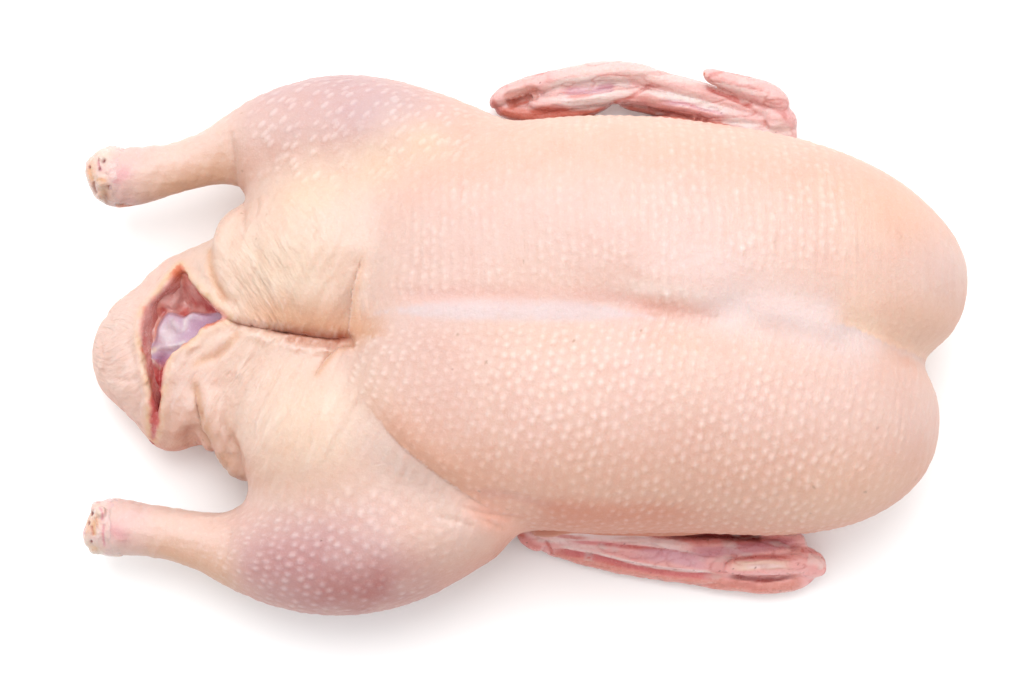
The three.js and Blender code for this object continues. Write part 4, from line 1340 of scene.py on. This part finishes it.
# Stripes on the wings: their tint, path, width, strength, the share that fades at the ends, and depth.
RIGHT_WING_STRIPES = (
    (WING_PALE, [(6, 114.6), (22, 119), (43, 121), (55, 117.7), (80, 110.5), (96, 105.5)], 4.0, 0.6),
    (WING_BROWN, [(-8, 105), (-4, 107.5), (2, 109), (8, 108)], 2.8, 0.65, 0.1, 0.9),
    (WING_ORANGE, [(-6, 104), (-2, 106), (3, 107)], 1.6, 0.8, 0.1),
    (WING_ORANGE, [(-12, 102.5), (-3, 100), (14, 100.5), (35, 101), (44, 103.6)], 2.8, 0.9, 0.05),
    (WING_SALMON, [(-9, 101), (-14, 105), (-15, 109.6), (-12, 112.5), (-6, 113.5)], 2.0, 0.9, 0.05),
    (WING_WHITE, [(6, 109.5), (20, 114), (43, 114.5), (50, 111)], 1.8, 0.9),
    (WING_WHITE, [(8, 106.5), (24, 104.4), (36, 106.2), (50, 110)], 2.4, 0.95),
    (WING_LAVENDER, [(17, 109.4), (26, 110.4), (36, 110.8), (42, 112)], 2.2, 0.95, 0.2, 0.7),
    (WING_PURPLE, [(32, 111.6), (38, 112.4), (43, 112.8)], 1.0, 0.7),
    (WING_RED, [(42.7, 103.4), (50, 107.5), (55, 111), (60, 112.4)], 1.0, 0.6, 0.3, 0.5),
    (WING_ORANGE, [
        (44, 103), (54, 101.4), (64, 99.6), (74, 97.6), (87, 94.6), (97, 92.4),
    ], 2.2, 0.85, 0.1),
    (WING_SALMON, [(46, 105), (60, 103), (75, 100), (90, 96.4)], 1.6, 0.6),
    (WING_LAVENDER, [(60, 105.4), (73, 103.8), (83, 101.6), (92, 98.8)], 1.6, 0.95, 0.2, 0.7),
    (WING_WHITE, [(50, 110), (63, 107.8), (73, 106), (86, 102), (105, 97)], 1.7, 0.9),
    (WING_WHITE, [(88, 97.5), (98, 95), (110, 92)], 2.2, 0.8),
    (WING_SALMON, [(56, 114.5), (70, 111.5), (82, 108.5), (94, 104.5)], 1.4, 0.4),
    (WING_RED, [(81, 111.4), (88, 108.4), (96, 104.8), (104, 101)], 1.1, 0.95, 0.15, 0.6),
    (WING_SALMON, [(81, 115.6), (88, 113), (99, 110), (112, 106)], 1.4, 0.35),
    (WING_WHITE, [(84, 112.4), (96, 109.4), (108, 106)], 1.0, 0.6),
    (FLESH_ORANGE, [(79.6, 115.8), (81, 115.4)], 1.3, 0.9, 0.01),
    (WING_FLUSH, [(111, 103), (119, 99), (122, 94), (121, 90)], 3.4, 0.35),
    (WING_SHADE, [(74, 97), (87, 94), (97, 91.6)], 1.2, 0.5),
)
# The groove tint in these stripes is painted shade in sunk grooves.
LEFT_WING_STRIPES = (
    (WING_SALMON, [
        (13, -84), (35, -86.5), (58, -89), (84, -90), (107, -91.5), (123, -92),
    ], 2.6, 0.8, 0.1),
    (WING_WHITE, [(6, -88), (13, -89.4), (33, -88.8), (50, -90.6), (66, -93), (78, -94.4)], 2.6, 0.95),
    (WING_GROOVE_PAINTED_SHADE, [(14, -92), (33, -92.4), (50, -94.6), (70, -97.4)], 0.9, 0.75, 0.2, 0.5),
    (WING_RED, [(8, -87.4), (20, -89.4), (31, -90.4)], 0.8, 0.7),
    (WING_RED, [(40, -93), (55, -94.6), (68, -96.4), (78, -98)], 0.9, 0.8, 0.2, 0.5),
    (WING_PURPLE, [(69, -97), (84, -95.8), (98, -94.5), (113, -92.8), (123, -92.5)], 2.4, 0.8, 0.2),
    (WING_LAVENDER, [(44, -97), (62, -97.4), (74, -100), (84, -102.6)], 2.8, 0.85),
    (WING_WHITE, [(12, -91.4), (25, -93.4), (38, -95.4)], 1.3, 0.5),
    (WING_BROWN, [
        (12, -97), (25, -102), (50, -106.6), (83, -111), (107, -114), (125, -110),
    ], 5.2, 0.8, 0.05),
)
# The groove tint in these stripes is painted shade in sunk grooves.
LEFT_WING_EDGES = (
    (WING_WHITE, [(13, -93), (33, -96.6), (50, -101), (66, -103.6), (87, -105.2)], 0.8, 0.85, 0.1),
    (WING_GROOVE_PAINTED_SHADE, [(12, -95), (33, -98.6), (50, -103), (66, -105.6), (87, -107.2)], 1.3, 0.8, 0.1, 0.7),
    (WING_CREAM, [(88, -102.6), (98, -102), (109, -101.8), (120, -101.6)], 2.2, 0.95),
    (WING_WHITE, [(95, -102.6), (106, -102.4), (116, -102.2)], 0.9, 0.9),
    (WING_SALMON, [(90, -99.4), (100, -98.6), (112, -98.4), (122, -99)], 0.9, 0.8),
    (WING_SHADE, [(89, -106.4), (100, -107.8), (110, -108), (122, -106.6)], 1.0, 0.8, 0.2, 0.6),
    (WING_PALE, [(125, -98), (131, -100), (132.6, -103)], 2.8, 0.9, 0.02),
    (WING_SALMON, [(122, -95), (130, -96.4), (134, -100.6), (133, -106), (126, -110)], 1.2, 0.8, 0.02),
    (WING_RED, [(-2, -87), (0, -90), (4, -93.6), (8, -95)], 2.0, 0.5, 0.02),
    (WING_PALE, [(-2, -84.6), (3, -87.6), (8, -91)], 1.2, 0.6, 0.02),
    (WING_RED, [(10, -91), (12, -94), (13, -97)], 0.8, 0.8, 0.02, 0.5),
)


def colour_right_wing(clay):
    """White and purple folds with red grooves, wet where they lie low."""
    z = clay.at[:, 2]
    for row in RIGHT_WING_STRIPES:
        stripe(clay, *row)
    clay.raw = np.clip(0.7 * smooth_step(13, 8, z) + 0.3, 0, 1)


def colour_left_wing(clay):
    """Rose folds with a speckled low strip, and pale skin towards the armpit."""
    x, _, z = clay.at.T
    clay.paint(WING_ROSE, 0.6)
    specks = rough(clay.at, (3.4, 2.4, 2.4), 155, 2)
    for row in LEFT_WING_STRIPES:
        stripe(clay, *row)
    low = smooth_step(11, 8, z)
    clay.paint(WING_ORANGE, 0.35 * low * smooth_step(0.0, 0.7, rough(clay.at, (12, 4, 4), 161)))
    pale = smooth_step(60, 90, x) * smooth_step(0.0, 0.6, rough(clay.at, (5, 3, 3), 163))
    clay.paint(WING_PALE, 0.35 * low * pale)
    clay.paint(WING_SALMON, 0.5 * low * smooth_step(0.1, 0.6, specks))
    clay.paint(WING_SHADE, 0.35 * low * smooth_step(-0.3, -0.8, specks))
    for row in LEFT_WING_EDGES:
        stripe(clay, *row)
    stripe(clay, WING_SALMON, [(112, -83), (127, -84), (140, -83)], 6, 0.8 * smooth_step(17, 20, z), 0.02)
    stripe(clay, PALE_SKIN, [(88, -84), (98, -86), (114, -87)], 4.5, smooth_step(23, 26, z), 0.02)
    seam = [(-3, -80.5), (14, -81), (35, -83), (64, -85.6), (84, -87), (106, -88.6)]
    stripe(clay, WING_SHADE, seam, 3.4, 0.95, 0.02)
    # Painted light over the whole left wing, which lies in the body's shade.
    clay.tint[:] = np.clip(clay.tint * LEFT_WING_PAINTED_LIGHT, 0, 1)
    clay.raw = np.clip(0.7 * smooth_step(12, 7, z) + 0.3, 0, 1)


# The knuckles at the cut hocks.


RIGHT_KNUCKLE = {
    "shaft": [
        (-77, 82, 40, 6, 6), (-83, 82, 40.5, 8, 7.6), (-94, 81.5, 41, 5, 5), (-122, 79, 42, 4.4, 4.2),
        (-156, 70, 42, 4.6, 4.4), (-168, 67.5, 42, 6, 5.8), (-176, 66.6, 42, 9, 9),
    ],
    "cap": [
        (-171, 66.8, 42, 12, 12), (-174.6, 66.8, 42, 14.2, 14.2), (-180.6, 66.8, 42, 14.6, 14.4),
        (-183.4, 66.6, 42, 12.8, 13), (-186, 66.8, 42.4, 10.6, 11.4), (-188.4, 68, 43, 7.4, 8.8),
        (-190.6, 69.6, 43.4, 3.4, 5),
    ],
    "outer knob": [(-180, 75.4, 45, 4, 6), (-184, 74.4, 45.6, 4.4, 6.4), (-187.4, 72.4, 45, 3.4, 4.6)],
    "inner knob": [(-181, 58.2, 44, 4, 8), (-184.4, 59, 44, 4.6, 8), (-187.4, 61.4, 43, 3.4, 5)],
    "tendon": [
        (-183.4, 73.4, 54, 1.2, 1.4), (-182.6, 71.4, 55.4, 1.3, 1.6), (-182.4, 68.6, 56.2, 1.3, 1.6),
    ],
    "gristle pad": [
        (-178.6, 62.6, 53.6, 3.4, 2.6), (-181.6, 62.8, 53.8, 3.8, 2.8), (-184.4, 63.4, 52, 3, 2.6),
    ],
}
LEFT_KNUCKLE = {
    "shaft": [
        (-77, -95, 37.4, 6, 6), (-83, -95.5, 37, 8, 7.6), (-94, -96, 36.5, 5, 5),
        (-122, -94.6, 35, 4.4, 4.2), (-158, -88, 32.5, 4.6, 4.4), (-169, -86.6, 31.6, 6, 5.8),
        (-177, -86, 31, 9, 9),
    ],
    "cap": [
        (-171, -86, 31, 11.4, 11.4), (-174.8, -85.8, 31, 13.8, 13.4), (-182, -85.6, 31, 13, 12.8),
        (-185, -86, 31, 11, 11), (-188, -87.4, 31, 8.6, 9), (-190.6, -89, 31, 4.2, 5.6),
    ],
    "outer knob": [(-182, -77.8, 33, 4, 6), (-185.6, -77.8, 33.4, 4, 5.8), (-187.6, -79, 33, 3, 4)],
    "inner knob": [(-182, -93.6, 32, 4, 6.4), (-186, -93.8, 32, 4, 6), (-188.4, -93, 31.4, 2.8, 4)],
    "tendon": [
        (-184.6, -80.4, 41, 1.2, 1.4), (-183.2, -83, 42.6, 1.3, 1.6), (-182.6, -88, 42.8, 1.3, 1.6),
        (-183, -92, 40.8, 1.2, 1.4),
    ],
    "gristle pad": [
        (-179, -79.6, 42, 2.6, 2.4), (-182, -79.2, 41.6, 2.8, 2.6), (-184.4, -79, 40, 2.2, 2),
    ],
}


def knuckle(name, stations, patches, lines, spots):
    """A cut joint end: patches, lines and spots are places with a tint and a depth."""
    piece = fused(name, [limb(run, 10) for run in stations.values()], KNUCKLE_VOXEL)
    clay = Clay(piece, BONE_PINK)
    clay.ease(2)
    clay.push(0.35 * rough(clay.at, 4, 121))
    clay.paint(BONE_CREAM, 0.3 + 0.6 * rough(clay.at, 5, 125))
    hock = smooth_step(-183, -179, clay.at[:, 0] + 1.5 * noise(clay.at, 4, 127))
    clay.paint(SHANK_SKIN, hock)
    clay.paint(HOCK_PINK, hock * (0.5 + 0.5 * rough(clay.at, 7, 129)))
    for centre, radii, tint, depth in patches:
        patch = clay.patch(centre, radii)
        clay.push(-depth * patch)
        clay.paint(tint, 0.8 * patch)
    for path, width, tint, depth in lines:
        distance, _, share = along(path, clay.at)
        line = bell(distance, width) * fading(share, 0.15)
        clay.push(-depth * line * (clay.facing()[:, 2] > 0))
        clay.paint(tint, line)
    for centre, radius in spots:
        spot = clay.patch(centre, (radius, 1.3 * radius))
        clay.push(-0.8 * spot * (clay.facing()[:, 2] > 0))
        clay.paint(SPOT_DARK, 1.1 * spot)
    # Painted shade in the cut's hollows, redder, and painted highlight on its crests.
    fine = clay.hollow(6)
    cut = smooth_step(-180, -183, clay.at[:, 0])
    clay.paint(SPOT_RED, 0.5 * smooth_step(0.1, 0.5, fine) * cut)
    clay.paint(BONE_CREAM, 0.6 * smooth_step(-0.1, -0.4, fine) * cut)
    clay.raw[:] = 0.6
    clay.finish()
    return piece


# Patches, lines and spots on the knuckles. The brown patch and lines on the right one are painted shade
# at the edges of its cut facet.
RIGHT_KNUCKLE_LOOK = (
    (
        ((-181, 74.6), (3.0, 3.2), BONE_CREAM, 0.0),
        ((-187, 67.5), (2.4, 6.0), BONE_ORANGE, 0.2),
        ((-181.3, 58.3), (3.0, 4.4), BONE_TAN, 1.0),
        ((-180.6, 56.4), (1.4, 2.6), BONE_EDGE_PAINTED_SHADE, 0.3),
    ),
    (
        ([(-184.6, 63.2), (-182, 63.2), (-179, 62.4)], 0.9, BONE_ORANGE, 0.3),
        ([(-185.4, 63.4), (-185.6, 60.5), (-184.4, 57.4)], 0.8, BONE_EDGE_PAINTED_SHADE, 0.5),
        ([(-178.6, 61), (-178.4, 59)], 0.7, BONE_EDGE_PAINTED_SHADE, 0.5),
        ([(-183.4, 73), (-183, 69.5), (-181.6, 66.4)], 0.7, HOCK_FLUSH, 0.4),
        ([(-187.6, 70), (-187, 66), (-185.4, 63)], 0.8, BONE_ORANGE, 0.4),
    ),
    (((-180.9, 71.6), 0.8), ((-182.9, 68.0), 0.6), ((-187.6, 69.4), 0.5)),
)
LEFT_KNUCKLE_LOOK = (
    (
        ((-182, -79.4), (2.4, 2.2), BONE_CREAM, 0.0),
        ((-183.6, -83), (1.8, 2.6), BONE_ORANGE, 0.1),
        ((-187.4, -84), (2.0, 5.0), BONE_ORANGE, 0.3),
        ((-185.4, -95), (4.0, 2.0), BONE_TAN, 0.2),
    ),
    (
        ([(-185.8, -84.8), (-185.4, -87), (-184.8, -89.6)], 0.6, SPOT_RED, 0.6),
        ([(-189.4, -85), (-189.8, -87), (-189.6, -89.4)], 0.6, HOCK_FLUSH, 0.4),
        ([(-184, -82.6), (-184.6, -86), (-184, -90)], 1.0, BONE_ORANGE, 0.2),
        ([(-182.6, -76.6), (-180.6, -80), (-181.4, -83.4)], 0.6, HOCK_FLUSH, 0.5),
        ([(-180, -84), (-180.4, -89), (-180, -95)], 0.6, HOCK_FLUSH, 0.4),
    ),
    (((-186.2, -79.8), 0.7), ((-187.3, -83.9), 0.6), ((-186.0, -92.0), 0.5), ((-189.0, -95.0), 0.6)),
)


# The lining of the vent: torn red flesh round a taut, pale membrane.


# Places on the membrane, seen from above, and the height of the floor under it.
MEMBRANE_EDGE = [
    (-164, -11), (-159, -5), (-157.5, 1.5), (-154, 6), (-147.5, 4.3), (-143.5, 6), (-136.5, 5),
    (-129, 5),
]
MEMBRANE_CREST = [(-154, 6), (-151, 1.7), (-147.2, -0.2), (-146, 4), (-143, 5.7), (-138, 4.7)]
TENDON = [(-164.5, -11.6), (-162, -9.6), (-159.3, -8.1), (-155.6, -7.5), (-149.6, -6.9), (-143.5, -5)]
SMALL_TENDON = [(-163.5, -11.4), (-161, -13.2), (-157.3, -17.5)]
STRAND = [(-151, 25), (-150, 20), (-151, 14), (-154, 9)]
VENT_FLOOR = 31.0


def vent_lining():
    """A torn sheet in the vent, pulled up from a flat grid."""
    bpy.ops.mesh.primitive_grid_add(x_subdivisions=110, y_subdivisions=180, size=1, location=(0, 0, 0))
    piece = bpy.context.object
    piece.name = "vent_lining"
    piece.scale = (50 * MM, 82 * MM, 1)
    piece.location = (-146 * MM, -9 * MM, 30 * MM)
    bpy.ops.object.transform_apply(location=True, rotation=True, scale=True)
    clay = Clay(piece, FLESH_PINK)
    delete_points(piece, vent_distance(clay.at) > 2.4)
    clay = Clay(piece, FLESH_PINK)
    strand, _, share = along(STRAND, clay.at)
    strand_ends = fading(share, 0.1)
    taut = shape_lining(clay, bell(strand, 1.6) * strand_ends)
    colour_lining(clay, taut, bell(strand, 1.5) * strand_ends)
    clay.raw[:] = 1
    clay.wrinkle[:] = 0.25
    clay.finish()
    apply_modifier(piece, "SOLIDIFY", thickness=1.2 * MM, offset=-1.0)
    return piece


def shape_lining(clay, strand):
    """Hangs the lining from the vent's lips and returns where it is a taut membrane."""
    x, y, _ = clay.at.T
    off = vent_distance(clay.at)
    lip = 42 + 0.32 * (x + 165) - 12 * smooth_step(-22, -46, y)
    deep = smooth_step(1.5, -8, off)
    height = (lip - 5.5) * (1 - deep) + VENT_FLOOR * deep
    edge, side, _ = along(MEMBRANE_EDGE, clay.at)
    edge = np.minimum(edge, 60)
    taut = np.where(side < 0, 1.0, bell(edge, 2.2)) * smooth_step(-16, -10, y)
    sheet = lip - 6.5 - 0.1 * edge + 1.6 * noise(clay.at, (9, 6, 9), 139)
    height = height + taut * (sheet - height)
    height += 1.7 * rough(clay.at, 5.5, 131) * (1 - taut) * smooth_step(2, -1, off)
    height += 0.9 * noise(clay.at, (5, 4, 9), 143) * taut
    for path, width, rise in ((MEMBRANE_CREST, 2.0, 0.8), (TENDON, 1.4, 0.9), (SMALL_TENDON, 0.8, 1.4)):
        distance, _, share = along(path, clay.at)
        height += rise * bell(distance, width) * fading(share, 0.15)
    height += 2.6 * strand
    clay.at[:, 2] = height
    return taut


def colour_lining(clay, taut, strand):
    """Crimson and orange flesh, a lilac membrane and white tendons."""
    x, y, _ = clay.at.T
    flesh = rough(clay.at, (4.5, 4.5, 4.5), 135)
    clay.paint(FLESH_RED, 0.35 + 0.9 * flesh)
    red = 0.6 * clay.patch((-136, 11), (7, 3.5), -42) + 0.5 * smooth_step(0.3, 0.8, flesh)
    clay.paint(FLESH_CRIMSON, red)
    tail_wall = smooth_step(-156, -161, x) * smooth_step(-14, -6, y)
    clay.paint(FLESH_SALMON, 0.9 * tail_wall * (0.8 + 0.8 * rough(clay.at, (1.6, 6, 6), 137)))
    clay.paint(FLESH_ORANGE, clay.patch((-151, 24), (4.5, 4)))
    clay.paint(FLESH_PALE, 0.8 * strand)
    membrane = smooth_step(0.35, 0.75, taut)
    clay.paint(MEMBRANE, 1.1 * membrane)
    clay.paint(MEMBRANE_DEEP, 0.75 * clay.patch((-136, 1), (8, 5)) * membrane)
    clay.paint(MEMBRANE_WHITE, 0.85 * clay.patch((-154.5, -2.5), (4.5, 6.5)))
    clay.paint(MEMBRANE_DEEP, 0.9 * clay.patch((-156.5, -13), (4, 3.2)))
    left_end = smooth_step(-14, -18, y)
    clay.paint(FLESH_CRIMSON, left_end)
    clay.paint(FLESH_RED, 0.6 * left_end * smooth_step(-0.2, 0.5, rough(clay.at, 2.6, 141)))
    broken = np.clip(0.6 + 0.7 * rough(clay.at, 3, 145), 0.1, 1)
    # The white along the membrane's crest is partly its pale tissue and partly a painted glint.
    clay.streak(MEMBRANE_WHITE, MEMBRANE_CREST, 1.3, 1.0, 0.12, broken)
    clay.streak(MEMBRANE_WHITE, TENDON, 1.1, 1.0, 0.12, broken)
    clay.streak(TENDON_WHITE, TENDON[:3], 1.2, 1.0, 0.12, broken)
    clay.streak(TENDON_WHITE, SMALL_TENDON, 0.6, 1.0, 0.12, broken)


# The scene around the duck.


def table():
    """The white table top that the bird lies on."""
    bpy.ops.mesh.primitive_plane_add(size=8, location=(0, 0, -0.0004))
    floor = bpy.context.object
    floor.name = "table"
    bpy.ops.object.transform_apply(location=True)
    floor.data.materials.append(table_material())


def add_camera():
    """A camera above the bird and a little to its left side."""
    data = bpy.data.cameras.new("camera")
    data.lens = CAMERA_LENS
    data.sensor_width = CAMERA_SENSOR
    data.clip_end = 20
    camera = bpy.data.objects.new("camera", data)
    bpy.context.collection.objects.link(camera)
    aim = Vector(CAMERA_AIM) * MM
    tilt = math.radians(CAMERA_ELEVATION)
    back = Vector((0, -math.cos(tilt), math.sin(tilt))) * CAMERA_DISTANCE * MM
    camera.location = aim + back
    camera.rotation_euler = (math.radians(90) - tilt, 0, 0)
    bpy.context.scene.camera = camera


def add_light(name, place, size, power):
    """A round lamp that faces the bird."""
    data = bpy.data.lights.new(name, "AREA")
    data.shape = "DISK"
    data.size = size
    data.energy = power
    lamp = bpy.data.objects.new(name, data)
    bpy.context.collection.objects.link(lamp)
    lamp.location = place
    lamp.rotation_euler = (Vector((0, 0, 0.05)) - Vector(place)).to_track_quat("-Z", "Y").to_euler()


def add_lights():
    """One soft lamp under a white dome that is brightest overhead and on the far side."""
    add_light("overhead_light", (-0.1, 0.7, 1.8), 1.3, 17.5)
    world = bpy.data.worlds.new("studio")
    world.use_nodes = True
    nodes, links = world.node_tree.nodes, world.node_tree.links
    place = nodes.new("ShaderNodeTexCoord")
    towards = nodes.new("ShaderNodeVectorMath")
    towards.operation = "DOT_PRODUCT"
    towards.inputs[1].default_value = (-0.05, 0.5, 0.86)
    links.new(place.outputs["Object"], towards.inputs[0])
    strength = nodes.new("ShaderNodeMapRange")
    set_inputs(strength, From_Min=-0.3, From_Max=0.9, To_Min=0.22, To_Max=1.62)
    links.new(towards.outputs["Value"], strength.inputs["Value"])
    nodes["Background"].inputs["Color"].default_value = (1, 1, 1, 1)
    links.new(strength.outputs["Result"], nodes["Background"].inputs["Strength"])
    bpy.context.scene.world = world


def dress(piece, node, finish):
    """Gives a piece its material, puts it under the root body and hides the solid's node that it stands
    for.
    """
    piece.data.materials.clear()
    piece.data.materials.append(finish)
    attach(piece, "root")
    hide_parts(node)


add_camera()
add_lights()
clear_selection()
table()
bpy.context.scene.view_settings.view_transform = "Standard"

skin_finish = flesh_material("raw_skin", 0.46, 3.0, grain=0.25, speckle=0.45, coat=0.06)
wing_finish = flesh_material("wing_skin", 0.36, 2.0, grain=0.3, speckle=0.5, coat=0.12)
bone_finish = flesh_material("gristle", 0.32, 2.0, grain=0.2, speckle=0.3, coat=0.2)
lining_finish = flesh_material("wet_lining", 0.3, 1.5, grain=0.25, speckle=0.35, coat=0.25)

dress(skin_piece(), "duck", skin_finish)
dress(wing("right_wing", RIGHT_WING, colour_right_wing), "duck", wing_finish)
dress(wing("left_wing", LEFT_WING, colour_left_wing), "duck", wing_finish)
dress(vent_lining(), "duck", lining_finish)
right_knuckle = knuckle("right_knuckle", RIGHT_KNUCKLE, *RIGHT_KNUCKLE_LOOK)
dress(right_knuckle, "right_shin_bone", bone_finish)
left_knuckle = knuckle("left_knuckle", LEFT_KNUCKLE, *LEFT_KNUCKLE_LOOK)
dress(left_knuckle, "left_shin_bone", bone_finish)
